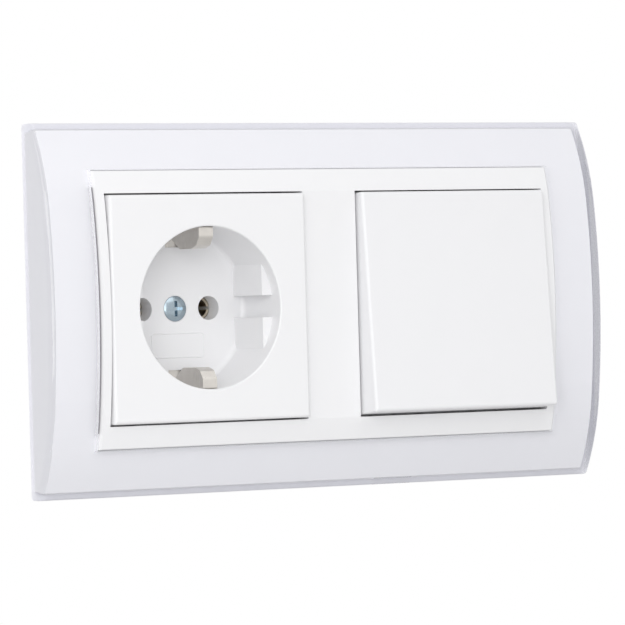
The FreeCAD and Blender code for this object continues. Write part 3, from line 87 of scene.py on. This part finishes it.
class Nodes:
    """A short way to write a shader tree."""

    def __init__(self, title: str) -> None:
        """Start an empty tree in a new material.

        Args:
            title: The material's name.
        """
        self.material = bpy.data.materials.new(title)
        self.material.use_nodes = True
        self.tree = self.material.node_tree
        self.tree.nodes.clear()
        self.output = self.add("ShaderNodeOutputMaterial")

    def add(self, kind: str, **inputs: object) -> bpy.types.Node:
        """Add a node and set or link its inputs.

        Args:
            kind: The node's type.
            **inputs: Values or sockets, by input name with underscores for blanks.

        Returns:
            The new node.
        """
        node = self.tree.nodes.new(kind)
        for name, value in inputs.items():
            self.feed(node.inputs[name.replace("_", " ")], value)
        return node

    def feed(self, socket: NodeSocket, value: object) -> None:
        """Link a socket to another one, or set its value.

        Args:
            socket: The input.
            value: An output of another node, or a plain value.
        """
        if isinstance(value, NodeSocket):
            self.tree.links.new(value, socket)
        else:
            socket.default_value = value

    def place(self, stretch: Point = (1.0, 1.0, 1.0)) -> NodeSocket:
        """Give the surface's own coordinates in metres, stretched along each axis."""
        place = self.add("ShaderNodeTexCoord").outputs["Object"]
        return self.add("ShaderNodeMapping", Vector=place, Scale=stretch).outputs["Vector"]

    def noise(self, size: float, detail: float,
              stretch: Point = (1.0, 1.0, 1.0)) -> NodeSocket:
        """Give soft random spots.

        Args:
            size: The spots' size in metres.
            detail: How many finer layers lie on them.
            stretch: A factor on each axis; below 1 draws the spots out along it.

        Returns:
            The strength of the spots, about 0.5 on average.
        """
        spots = self.add("ShaderNodeTexNoise", Vector=self.place(stretch), Scale=1 / size,
                         Detail=detail)
        return spots.outputs["Fac"]

    def spread(self, source: NodeSocket, low: float, high: float) -> NodeSocket:
        """Spread the middle of a noise over a range of values.

        Args:
            source: The noise.
            low: The value at its low end.
            high: The value at its high end.

        Returns:
            The new value.
        """
        node = self.add("ShaderNodeMapRange", Value=source, From_Min=NOISE_LOW,
                        From_Max=NOISE_HIGH, To_Min=low, To_Max=high)
        return node.outputs["Result"]

    def between(self, share: NodeSocket, first: Colour, second: Colour) -> NodeSocket:
        """Mix two colours by a share.

        Args:
            share: The share of the second one.
            first: The colour at share 0.
            second: The colour at share 1.

        Returns:
            The mixed colour.
        """
        node = self.tree.nodes.new("ShaderNodeMix")
        node.data_type = "RGBA"
        self.feed(node.inputs["Factor"], share)
        node.inputs["A"].default_value = (*first, 1.0)
        node.inputs["B"].default_value = (*second, 1.0)
        return next(out for out in node.outputs if out.type == "RGBA")

    def finish(self, shader: bpy.types.Node) -> bpy.types.Material:
        """Send a shader to the surface and give the material back."""
        self.tree.links.new(shader.outputs[0], self.output.inputs["Surface"])
        return self.material


def shade(colour: Colour, factor: float) -> Colour:
    """Make a colour lighter or darker by a factor."""
    return tuple(min(1.0, part * factor) for part in colour)


@dataclass(frozen=True)
class Finish:
    """A solid finish: plastic or metal with its fine marks.

    Args:
        title: The material's name.
        slot: The record's slot that the finish belongs to.
        colour: The surface's own colour.
        roughness: The middle roughness.
        metallic: 1 for metal.
        grain: The kind of fine marks.
        grain_size: The marks' size.
        grain_depth: The marks' height.
        mottle: The share by which the colour varies.
        mottle_size: The size of the paler and darker spots.
        shine: The strength of the reflection of a non-metal.
    """

    title: str
    slot: str
    colour: Colour
    roughness: float
    metallic: float = 0.0
    grain: Grain = Grain.MOULDED
    grain_size: float = 0.8 * MM
    grain_depth: float = 0.002 * MM
    mottle: float = 0.01
    mottle_size: float = 9 * MM
    shine: float = 0.5

    def height(self, nodes: Nodes) -> NodeSocket:
        """Build the height of the fine marks.

        Args:
            nodes: The shader tree to build in.

        Returns:
            The socket that gives the height as a share of the depth.
        """
        match self.grain:
            case Grain.MOULDED:
                return nodes.noise(self.grain_size, detail=3.0)
            case Grain.SPARKED:
                return nodes.noise(self.grain_size, detail=8.0)
            case Grain.ROLLED:
                return nodes.noise(self.grain_size, detail=4.0, stretch=ROLLING)
            case Grain.TURNED:
                rings = nodes.add("ShaderNodeTexWave", Vector=nodes.place(),
                                  Scale=RING_SCALE / self.grain_size, Distortion=RING_WANDER)
                rings.wave_type = "RINGS"
                rings.rings_direction = "Y"
                return rings.outputs["Fac"]

    def build(self) -> bpy.types.Material:
        """Build the finish as a material.

        Returns:
            The new material.
        """
        nodes = Nodes(self.title)
        spots = nodes.noise(self.mottle_size, detail=4.0)
        marks = self.height(nodes)
        colour = nodes.between(spots, shade(self.colour, 1 - self.mottle),
                               shade(self.colour, 1 + self.mottle))
        roughness = nodes.spread(marks, self.roughness * (1 - ROUGHNESS_SWING),
                                 self.roughness * (1 + ROUGHNESS_SWING))
        bump = nodes.add("ShaderNodeBump", Height=marks, Distance=self.grain_depth,
                         Strength=1.0)
        shader = nodes.add("ShaderNodeBsdfPrincipled", Base_Color=colour, Roughness=roughness,
                           Metallic=self.metallic, Normal=bump.outputs["Normal"],
                           Specular_IOR_Level=self.shine)
        return nodes.finish(shader)


@dataclass(frozen=True)
class ClearFinish:
    """A water-clear moulding that takes a little light on a long way through.

    Args:
        title: The material's name.
        slot: The record's slot that the finish belongs to.
        tint: The colour that long ways through it turn to.
        density: How fast they do, per metre.
        roughness: The polish of its surface.
        index: The index of refraction.
        rim: The colour of its ground rear edge, a grey that paints the shade seen through the
            clear rim.
        rim_level: The Y behind which its surface is ground.
        rim_roughness: The roughness of the ground edge.
        grit_size: The size of the marks on the ground edge.
        grit_depth: Their height.
        haze_size: The size of the areas that are polished a little more or less.
        wave_size: The length of the moulding's waves.
        wave_depth: Their height.
    """

    title: str
    slot: str
    tint: Colour
    density: float
    roughness: float
    index: float
    rim: Colour
    rim_level: float
    rim_roughness: float = 0.7
    grit_size: float = 0.25 * MM
    grit_depth: float = 0.01 * MM
    haze_size: float = 12 * MM
    wave_size: float = 14 * MM
    wave_depth: float = 0.004 * MM

    def ground(self, nodes: Nodes, clear: bpy.types.Node) -> bpy.types.Node:
        """Put the ground finish on the rear edge, with a grey tone that paints the shade seen
        through the clear rim.

        Args:
            nodes: The shader tree to build in.
            clear: The polished surface.

        Returns:
            The two finishes together.
        """
        grit = nodes.noise(self.grit_size, detail=6.0)
        tone = nodes.between(grit, shade(self.rim, 1 - GRIT_SWING),
                             shade(self.rim, 1 + GRIT_SWING))
        bump = nodes.add("ShaderNodeBump", Height=grit, Distance=self.grit_depth, Strength=1.0)
        matte_rim_shade = nodes.add("ShaderNodeBsdfPrincipled", Base_Color=tone,
                          Roughness=self.rim_roughness, Normal=bump.outputs["Normal"])
        parts = nodes.add("ShaderNodeSeparateXYZ", Vector=nodes.place())
        behind = nodes.add("ShaderNodeMath")
        behind.operation = "GREATER_THAN"
        nodes.feed(behind.inputs[0], parts.outputs["Y"])
        nodes.feed(behind.inputs[1], self.rim_level)
        mix = nodes.add("ShaderNodeMixShader", Fac=behind.outputs[0])
        nodes.tree.links.new(clear.outputs[0], mix.inputs[1])
        nodes.tree.links.new(matte_rim_shade.outputs[0], mix.inputs[2])
        return mix

    def build(self) -> bpy.types.Material:
        """Build the finish as a material.

        Lamps and scattered light go straight through, so that what lies behind is lit.

        Returns:
            The new material.
        """
        nodes = Nodes(self.title)
        polish = nodes.spread(nodes.noise(self.haze_size, detail=3.0),
                              self.roughness * (1 - POLISH_SWING),
                              self.roughness * (1 + POLISH_SWING))
        bump = nodes.add("ShaderNodeBump", Height=nodes.noise(self.wave_size, detail=1.0),
                         Distance=self.wave_depth, Strength=1.0)
        clear = nodes.add("ShaderNodeBsdfPrincipled", Base_Color=(1, 1, 1, 1),
                          Roughness=polish, IOR=self.index, Transmission_Weight=1.0,
                          Normal=bump.outputs["Normal"])
        path = nodes.add("ShaderNodeLightPath")
        passing = nodes.add("ShaderNodeMath")
        passing.operation = "MAXIMUM"
        nodes.feed(passing.inputs[0], path.outputs["Is Shadow Ray"])
        nodes.feed(passing.inputs[1], path.outputs["Is Diffuse Ray"])
        open_way = nodes.add("ShaderNodeBsdfTransparent")
        mix = nodes.add("ShaderNodeMixShader", Fac=passing.outputs[0])
        nodes.tree.links.new(self.ground(nodes, clear).outputs[0], mix.inputs[1])
        nodes.tree.links.new(open_way.outputs[0], mix.inputs[2])
        inside = nodes.add("ShaderNodeVolumeAbsorption", Color=(*self.tint, 1.0),
                           Density=self.density)
        nodes.tree.links.new(inside.outputs[0], nodes.output.inputs["Volume"])
        return nodes.finish(mix)


# Finishes by the names of the record's slots
FINISHES: dict[str, Finish | ClearFinish] = {
    item.slot: item
    for item in (
        # The clear moulding's rear edge is ground, and its grey tone is painted shade seen
        # through the rim
        ClearFinish("clear moulding", "clear_plastic", (0.5, 0.51, 0.62), 30.0, 0.02, 1.49,
                    (0.82, 0.82, 0.86), -0.02 * MM),
        Finish("white gloss moulding", "white_gloss_plastic", (0.845, 0.845, 0.857), 0.38,
               grain_depth=0.001 * MM, shine=0.35),
        Finish("white rocker moulding", "rocker_plastic", (0.835, 0.835, 0.85), 0.4,
               grain_size=0.5 * MM, grain_depth=0.001 * MM, shine=0.35),
        Finish("cool white backing", "backing_plastic", (0.875, 0.875, 0.903), 0.4),
        Finish("zinc-plated sheet", "ring_steel", (0.66, 0.67, 0.68), 0.36, 1.0,
               Grain.ROLLED, 0.25 * MM, 0.004 * MM, 0.08, 5 * MM),
        Finish("grey insulating moulding", "base_plastic", (0.62, 0.62, 0.6), 0.55,
               grain=Grain.SPARKED, grain_size=0.35 * MM, grain_depth=0.01 * MM, mottle=0.03),
        Finish("dull brass strip", "contact_brass", (0.6, 0.53, 0.42), 0.36, 1.0,
               Grain.ROLLED, 0.2 * MM, 0.003 * MM, 0.1, 3 * MM),
        Finish("silver-faced strip", "contact_silver", (0.75, 0.72, 0.66), 0.3, 1.0,
               Grain.ROLLED, 0.2 * MM, 0.003 * MM, 0.08, 3 * MM),
        Finish("nickel-plated strip", "clip_metal", (0.68, 0.65, 0.61), 0.3, 1.0,
               Grain.ROLLED, 0.22 * MM, 0.004 * MM, 0.08, 2 * MM),
        Finish("spring strip", "spring_steel", (0.5, 0.5, 0.52), 0.3, 1.0,
               Grain.ROLLED, 0.2 * MM, 0.003 * MM, 0.08, 3 * MM),
        Finish("zinc-plated screw", "screw_zinc", (0.36, 0.43, 0.48), 0.2, 1.0,
               Grain.TURNED, 0.1 * MM, 0.002 * MM, 0.05, 1 * MM),
        Finish("orange lever moulding", "lever_plastic", (0.8, 0.23, 0.03), 0.45,
               grain=Grain.SPARKED, grain_size=0.3 * MM, grain_depth=0.008 * MM, mottle=0.03),
        Finish("plated rivet", "rivet_steel", (0.6, 0.6, 0.6), 0.32, 1.0,
               Grain.TURNED, 0.1 * MM, 0.002 * MM, 0.06, 1 * MM),
        Finish("bearing plastic", "cradle_plastic", (0.66, 0.66, 0.64), 0.45,
               grain=Grain.SPARKED, grain_size=0.3 * MM, grain_depth=0.006 * MM, mottle=0.02),
    )
}

# Painted shade: a dark strip in the slot beside the inner frame stands in for the shadow in
# that gap, so it is darker than its slot's own finish
SLOT_SHADOW_STRIP = Finish("painted slot shadow strip", "spring_steel", (0.24, 0.235, 0.255), 0.6,
                    grain=Grain.SPARKED, grain_size=0.3 * MM, grain_depth=0.01 * MM,
                    mottle=0.1, mottle_size=2 * MM)


class Wardrobe:
    """Makes each finish once and puts it on the pieces that use it."""

    def __init__(self) -> None:
        """Start with nothing made."""
        self.made: dict[str, bpy.types.Material] = {}

    def material(self, slot: str) -> bpy.types.Material:
        """Give the material of a slot, made at its first use.

        Args:
            slot: The slot's name.

        Returns:
            The material.
        """
        if slot not in self.made:
            self.made[slot] = FINISHES[slot].build()
        return self.made[slot]

    def dress(self, piece: bpy.types.Object) -> None:
        """Put on a piece of the frame the finish of each of its slots."""
        for holder in piece.material_slots:
            holder.material = self.material(holder.material.name.split(".")[0])


@dataclass
class SubAssembly:
    """Pieces of the frame that belong together, and what is added to them.

    Args:
        wardrobe: The finishes.
        names: The frame's pieces that belong to it.
    """

    wardrobe: Wardrobe
    names: tuple[str, ...] = ()

    def dress(self) -> list[str]:
        """Put the finishes on the frame's pieces.

        Returns:
            The names of the pieces dressed.
        """
        for name in self.names:
            self.wardrobe.dress(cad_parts[name])
        return list(self.names)

    def add(self, title: str, mesh: bmesh.types.BMesh, slot: str,
            finish: Finish | None = None) -> bpy.types.Object:
        """Make an added piece of the fixed body from a mesh and dress it.

        Args:
            title: The piece's name.
            mesh: Its shape, which is used up.
            slot: The record's slot that its finish comes from.
            finish: A finish of its own in place of the slot's.

        Returns:
            The new piece.
        """
        bmesh.ops.recalc_face_normals(mesh, faces=mesh.faces)
        data = bpy.data.meshes.new(title)
        mesh.to_mesh(data)
        mesh.free()
        data.materials.append(finish.build() if finish else self.wardrobe.material(slot))
        piece = bpy.data.objects.new(title, data)
        bpy.context.scene.collection.objects.link(piece)
        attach(piece, "root")
        return piece


@dataclass
class CoverFrame(SubAssembly):
    """The clear shell, the white one behind it and the inner frame.

    Args:
        contact: How far the white shell swells towards the clear one.
        closing: The distance within which its corners are closed first.
        crease: The angle in degrees from which its edges stay sharp.
        half_height: Half the frame's height.
        crown: Its front's highest point above the wall.
        edge: The front of its upper and lower edge above the wall.
        crown_radius: The radius of the flat middle arc of its front.
        crown_half: Where that arc ends, above and below the middle.
        slot_x: Outer and inner face of the strip of painted shade in the slot left of the inner
            frame.
        slot_half: Half its height.
        strip_low: Its front below that of the frame.
        strip_rear: Its rear above the wall.
        strip_bevel: The bevel of its front edges.
        strip_parts: Steps along its arched front.
    """

    names: tuple[str, ...] = ("clear_cover", "white_backing", "inner_frame")
    contact: float = 0.13 * MM
    closing: float = 0.001 * MM
    crease: float = 30.0
    half_height: float = 45 * MM
    crown: float = 11.9 * MM
    edge: float = 3.5 * MM
    crown_radius: float = 190 * MM
    crown_half: float = 25 * MM
    slot_x: Span = (-66.72 * MM, -66.23 * MM)
    slot_half: float = 29.4 * MM
    strip_low: float = 0.2 * MM
    strip_rear: float = 3.0 * MM
    strip_bevel: float = 0.08 * MM
    strip_parts: int = 24

    def front(self, z: float) -> float:
        """Give how far the arched front stands out from the wall.

        Args:
            z: The height above the frame's middle.

        Returns:
            The front's distance from the wall plane there.
        """
        sine = self.crown_half / self.crown_radius
        cosine = math.sqrt(1 - sine ** 2)
        if abs(z) <= self.crown_half:
            return self.crown - self.crown_radius + math.sqrt(self.crown_radius ** 2 - z ** 2)
        reach = self.half_height - self.crown_half
        drop = self.crown - self.crown_radius * (1 - cosine) - self.edge
        radius = (drop ** 2 + reach ** 2) / (2 * (drop * cosine - reach * sine))
        middle_z = (self.crown_radius - radius) * sine
        middle_y = self.crown_radius - self.crown - (self.crown_radius - radius) * cosine
        return math.sqrt(radius ** 2 - (abs(z) - middle_z) ** 2) - middle_y

    def strip(self) -> bpy.types.Object:
        """Build the dark strip in the slot to the left of the inner frame, as painted shade of
        that gap.

        Returns:
            The strip.
        """
        mesh = bmesh.new()
        bevel = self.strip_bevel
        outer, inner = self.slot_x
        rings = []
        for step in range(self.strip_parts + 1):
            z = self.slot_half * (2 * step / self.strip_parts - 1)
            high = self.front(z) - self.strip_low
            outline = [(outer, self.strip_rear), (outer, high - bevel), (outer + bevel, high),
                       (inner - bevel, high), (inner, high - bevel), (inner, self.strip_rear)]
            rings.append([mesh.verts.new((x, -depth, z)) for x, depth in outline])
        bridge(mesh, rings)
        mesh.faces.new(rings[0])
        mesh.faces.new(rings[-1])
        return self.add("left_slot_shadow_strip", mesh, "spring_steel", finish=SLOT_SHADOW_STRIP)

    def bond(self) -> None:
        """Swell the white shell, so that it lies in optical contact with the clear one."""
        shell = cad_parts["white_backing"]
        weld = shell.modifiers.new("closed corners", "WELD")
        weld.merge_threshold = self.closing
        swell = shell.modifiers.new("optical contact", "DISPLACE")
        swell.mid_level = 0.0
        swell.strength = self.contact
        split = shell.modifiers.new("sharp edges", "EDGE_SPLIT")
        split.split_angle = math.radians(self.crease)


@dataclass(frozen=True)
class ClampSpring:
    """A terminal's leaf spring, whose free leg gives way to the release lever.

    Args:
        terminal: The terminal's name.
        axis: Z of the terminal's axis.
        side: 1 where the terminal's bar is above the axis, -1 where it is below.
        still: Distance from the axis, away from the bar, at which the spring starts to move.
        carried: The same at which it moves as far as the lever.
        steps: Parts into which the leg is cut between the two, so that it can bend.
    """

    terminal: str
    axis: float
    side: int
    still: float = 1.9 * MM
    carried: float = 0.4 * MM
    steps: int = 6

    def build(self) -> bpy.types.Object:
        """Build the spring as a piece cut into steps between the body and the lever.

        Returns:
            The spring.
        """
        start, end = (self.axis - self.side * away for away in (self.still, self.carried))
        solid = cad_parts[self.terminal + "_clamp_spring"]
        mesh = bmesh.new()
        mesh.from_mesh(solid.data)
        mesh.transform(solid.matrix_world)
        for step in range(self.steps + 1):
            level = start + (end - start) * step / self.steps
            bmesh.ops.bisect_plane(mesh, geom=[*mesh.verts, *mesh.edges, *mesh.faces],
                                   plane_co=(0, 0, level), plane_no=(0, 0, 1))
        data = bpy.data.meshes.new(self.terminal + "_bent_spring")
        mesh.to_mesh(data)
        mesh.free()
        for holder in solid.material_slots:
            data.materials.append(holder.material)
        piece = bpy.data.objects.new(data.name, data)
        bpy.context.scene.collection.objects.link(piece)
        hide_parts(solid.name)
        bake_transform(piece)
        return piece


# Each terminal with the Z of its axis and the side of it that the terminal's bar is on
CLAMP_SPRINGS = (
    ClampSpring("line", -10.6 * MM, 1),
    ClampSpring("neutral", -10.6 * MM, 1),
    ClampSpring("earth", 9.6 * MM, -1),
    ClampSpring("common", 0.0, 1),
    ClampSpring("upper", 16.8 * MM, -1),
    ClampSpring("lower", -16.8 * MM, 1),
)


@dataclass
class SocketInsert(SubAssembly):
    """The earthed socket, with a blank raised cartouche on its floor.

    Args:
        cartouche_x: Left and right end of the cartouche.
        cartouche_z: Its lower and upper edge.
        floor: Y of the cup's floor.
        sunk: How far the cartouche's rib is let into the floor.
        corner: The rounding of the cartouche's corners.
        rib: The width of its rib.
        rise: The rib's height from its foot.
        rib_lines: Lines of points across the rib.
    """

    names: tuple[str, ...] = (
        "socket_cover", "cover_screw", "socket_ring", "socket_ring_rivets", "socket_base",
        "earth_strap", "line_contact", "neutral_contact", "line_clamp_spring",
        "neutral_clamp_spring", "earth_clamp_spring", "line_release_lever",
        "neutral_release_lever", "earth_release_lever",
    )
    cartouche_x: Span = (-42.5 * MM, -27.4 * MM)
    cartouche_z: Span = (-12.1 * MM, -5.9 * MM)
    floor: float = 5.9 * MM
    sunk: float = 0.02 * MM
    corner: float = 0.9 * MM
    rib: float = 0.35 * MM
    rise: float = 0.22 * MM
    rib_lines: int = 5

    def cartouche(self) -> bpy.types.Object:
        """Build the cartouche's rib as a low rounded ridge on the floor.

        Returns:
            The rib.
        """
        mesh = bmesh.new()
        rings = []
        for line in range(self.rib_lines):
            share = line / (self.rib_lines - 1)
            depth = self.floor + self.sunk - self.rise * math.sin(math.pi * share)
            outline = rounded_rectangle(self.cartouche_x, self.cartouche_z, self.corner,
                                        self.rib * share)
            rings.append([mesh.verts.new((x, depth, z)) for x, z in outline])
        bridge(mesh, rings)
        piece = self.add("cup_floor_cartouche", mesh, "white_gloss_plastic")
        for face in piece.data.polygons:
            face.use_smooth = True
        return piece


@dataclass
class SwitchInsert(SubAssembly):
    """The rocker, its mechanism and the switch body.

    Args:
        slide: The direction in which the plunger is pressed into the cradle; not used.
        spring_seat: The end of its spring that rests on the cradle; not used.
        spring_length: The spring's length at rest; not used.
        travel: How far the plunger slides; not used.
    """

    names: tuple[str, ...] = (
        "rocker", "rocker_cradle", "plunger", "plunger_spring", "see_saw_contact",
        "common_terminal", "upper_contact", "lower_contact", "switch_ring",
        "switch_ring_rivets", "switch_top", "switch_base", "common_clamp_spring",
        "upper_clamp_spring", "lower_clamp_spring", "common_release_lever",
        "upper_release_lever", "lower_release_lever",
    )
    slide: Point = (0.0, -0.997353, 0.072716)
    spring_seat: Point = (35.5 * MM, -10.0944 * MM, 0.1527 * MM)
    spring_length: float = 8.4 * MM
    travel: float = 0.8 * MM

    def coil(self) -> bpy.types.Object:
        """Build the plunger's spring as a piece of its own that rides with the rocker.

        Returns:
            The spring.
        """
        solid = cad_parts["plunger_spring"]
        piece = bpy.data.objects.new("pressed_spring", solid.data.copy())
        piece.matrix_world = solid.matrix_world
        bpy.context.scene.collection.objects.link(piece)
        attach(piece, "rocker_assembly")
        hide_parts("plunger_spring")
        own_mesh(piece)
        return piece


def rounded_rectangle(across: Span, up: Span, corner: float, inset: float,
                      parts: int = 6) -> list[tuple[float, float]]:
    """Give points round a rectangle with rounded corners.

    Args:
        across: Its lowest and highest first coordinate.
        up: Its lowest and highest second coordinate.
        corner: The rounding of its corners before the inset.
        inset: How far the line lies inside the rectangle.
        parts: Steps round each corner.

    Returns:
        The points, in order round the rectangle.
    """
    radius = max(corner - inset, LEAST_CORNER)
    low_x, high_x = across[0] + inset + radius, across[1] - inset - radius
    low_z, high_z = up[0] + inset + radius, up[1] - inset - radius
    middles = [(high_x, high_z), (low_x, high_z), (low_x, low_z), (high_x, low_z)]
    points = []
    for quarter, (x, z) in enumerate(middles):
        for step in range(parts + 1):
            turn = (quarter + step / parts) * math.pi / 2
            points.append((x + radius * math.cos(turn), z + radius * math.sin(turn)))
    return points


def bridge(mesh: bmesh.types.BMesh, rings: Sequence[Sequence[bmesh.types.BMVert]]) -> None:
    """Join closed rings of points by faces.

    Args:
        mesh: The mesh that the points are in.
        rings: Rings of the same number of points.
    """
    count = len(rings[0])
    for ring, following in zip(rings, rings[1:]):
        for i in range(count):
            j = (i + 1) % count
            mesh.faces.new((ring[i], ring[j], following[j], following[i]))


@dataclass
class Camera:
    """The camera that took the photograph, as fitted to the unit's known sizes.

    Args:
        azimuth: Degrees to the left of straight ahead.
        elevation: Degrees above the horizon.
        roll: Degrees that the camera is turned about its axis.
        distance: From the frame's middle.
        lens: Focal length in millimetres.
        sensor: Width of the sensor in millimetres.
        aim_right: Point aimed at, to the right of the frame's middle in the picture.
        aim_up: Point aimed at, above the frame's middle in the picture.
        clip: Distances of the nearest and the farthest thing that it sees.
    """

    azimuth: float = 31.99
    elevation: float = -0.11
    roll: float = -1.63
    distance: float = 1169.18 * MM
    lens: float = 272.1
    sensor: float = 36.0
    aim_right: float = 0.41 * MM
    aim_up: float = -1.84 * MM
    clip: Span = (0.05, 20.0)

    def build(self) -> None:
        """Place the camera and make it the scene's."""
        turn, rise = math.radians(self.azimuth), math.radians(self.elevation)
        back = Vector((-math.sin(turn) * math.cos(rise), -math.cos(turn) * math.cos(rise),
                       math.sin(rise)))
        level_right = (-back).cross(Vector((0, 0, 1))).normalized()
        level_up = level_right.cross(-back)
        lean = math.radians(self.roll)
        right = level_right * math.cos(lean) + level_up * math.sin(lean)
        up = level_up * math.cos(lean) - level_right * math.sin(lean)
        spot = back * self.distance + right * self.aim_right + up * self.aim_up
        data = bpy.data.cameras.new("camera")
        data.lens, data.sensor_width = self.lens, self.sensor
        data.clip_start, data.clip_end = self.clip
        camera = bpy.data.objects.new("camera", data)
        camera.matrix_world = Matrix((
            (right.x, up.x, back.x, spot.x),
            (right.y, up.y, back.y, spot.y),
            (right.z, up.z, back.z, spot.z),
            (0, 0, 0, 1),
        ))
        bpy.context.scene.collection.objects.link(camera)
        bpy.context.scene.camera = camera


@dataclass(frozen=True)
class Lamp:
    """A soft box.

    Args:
        title: The lamp's name.
        spot: Where it stands.
        size: The width of its square face.
        power: Watts.
    """

    title: str
    spot: Point
    size: float
    power: float

    def build(self, target: Point) -> None:
        """Place the lamp and turn it to a target.

        Args:
            target: The point that it shines at.
        """
        data = bpy.data.lights.new(self.title, "AREA")
        data.energy, data.size = self.power, self.size
        lamp = bpy.data.objects.new(self.title, data)
        lamp.location = self.spot
        beam = Vector(target) - Vector(self.spot)
        lamp.rotation_euler = beam.to_track_quat("-Z", "Y").to_euler()
        bpy.context.scene.collection.objects.link(lamp)


@dataclass
class Studio:
    """A white studio: an even surround, soft boxes and a pale floor below the unit.

    Args:
        ambient: The surround's strength for scattered light.
        floor_level: Height of the floor.
        floor_half: Half the floor's width.
        floor_tones: The floor's darker and paler spots.
        floor_spots: The size of these spots.
        floor_roughness: The floor's roughness.
        target: The point that the soft boxes shine at.
        lamps: The soft boxes.
    """

    ambient: float = 0.55
    floor_level: float = -0.14
    floor_half: float = 0.5
    floor_tones: tuple[Colour, Colour] = ((0.82, 0.82, 0.82), (0.85, 0.85, 0.85))
    floor_spots: float = 60 * MM
    floor_roughness: float = 0.8
    target: Point = (0.0, 0.0, 0.0)
    lamps: Sequence[Lamp] = field(default_factory=lambda: (
        Lamp("key box", (-1.3, -0.9, 0.7), 0.9, 4.1),
        Lamp("camera box", (-0.55, -0.9, 0.12), 0.6, 3.7),
        Lamp("upper box", (0.1, -0.9, 0.7), 0.6, 1.05),
        Lamp("top box", (0.0, -0.3, 0.7), 0.5, 0.64),
        Lamp("side box", (-0.8, -0.12, 0.1), 0.5, 0.1),
        Lamp("far box", (0.8, -0.03, 0.1), 0.5, 0.55),
    ))

    def build(self) -> None:
        """Build the surround, the floor, the lamps and the view settings."""
        scene = bpy.context.scene
        scene.view_settings.view_transform = "Standard"
        scene.world = self.surround()
        self.floor()
        for lamp in self.lamps:
            lamp.build(self.target)

    def surround(self) -> bpy.types.World:
        """Build the world: white to look at, softer as a light.

        Returns:
            The new world.
        """
        world = bpy.data.worlds.new("surround")
        world.use_nodes = True
        tree = world.node_tree
        tree.nodes.clear()
        path = tree.nodes.new("ShaderNodeLightPath")
        seen = path.outputs["Is Camera Ray"]
        for kind in ("Is Glossy Ray", "Is Transmission Ray"):
            most = tree.nodes.new("ShaderNodeMath")
            most.operation = "MAXIMUM"
            tree.links.new(seen, most.inputs[0])
            tree.links.new(path.outputs[kind], most.inputs[1])
            seen = most.outputs[0]
        mix = tree.nodes.new("ShaderNodeMixShader")
        tree.links.new(seen, mix.inputs[0])
        for place, strength in ((1, self.ambient), (2, 1.0)):
            sky = tree.nodes.new("ShaderNodeBackground")
            sky.inputs["Color"].default_value = (1, 1, 1, 1)
            sky.inputs["Strength"].default_value = strength
            tree.links.new(sky.outputs[0], mix.inputs[place])
        output = tree.nodes.new("ShaderNodeOutputWorld")
        tree.links.new(mix.outputs[0], output.inputs["Surface"])
        return world

    def floor(self) -> bpy.types.Object:
        """Build the pale floor.

        Returns:
            The floor object.
        """
        half, level = self.floor_half, self.floor_level
        mesh = bpy.data.meshes.new("floor")
        corners = [(-half, -half, level), (half, -half, level), (half, half, level),
                   (-half, half, level)]
        mesh.from_pydata(corners, [], [(0, 1, 2, 3)])
        floor = bpy.data.objects.new("floor", mesh)
        bpy.context.scene.collection.objects.link(floor)
        nodes = Nodes("pale floor")
        spots = nodes.noise(self.floor_spots, detail=2.0)
        tone = nodes.between(spots, *self.floor_tones)
        shader = nodes.add("ShaderNodeBsdfPrincipled", Base_Color=tone,
                           Roughness=self.floor_roughness)
        mesh.materials.append(nodes.finish(shader))
        return floor


def main() -> None:
    """Dress the frame, add what the solids leave out and a strip of painted shade, and light
    it.
    """
    logging.basicConfig(level=logging.INFO, format="%(name)s: %(message)s")
    wardrobe = Wardrobe()
    cover, socket, switch = CoverFrame(wardrobe), SocketInsert(wardrobe), SwitchInsert(wardrobe)
    dressed = [name for group in (cover, socket, switch) for name in group.dress()]
    for name in dressed:
        LOG.info("dressed %s", name)
    LOG.info("dressed %d of %d pieces of the frame", len(set(dressed)), len(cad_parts))
    cover.bond()
    springs = [spring.build() for spring in CLAMP_SPRINGS]
    for piece in (cover.strip(), socket.cartouche(), switch.coil(), *springs):
        LOG.info("added %s", piece.name)
    Studio().build()
    Camera().build()


if __name__ == "__main__":
    main()
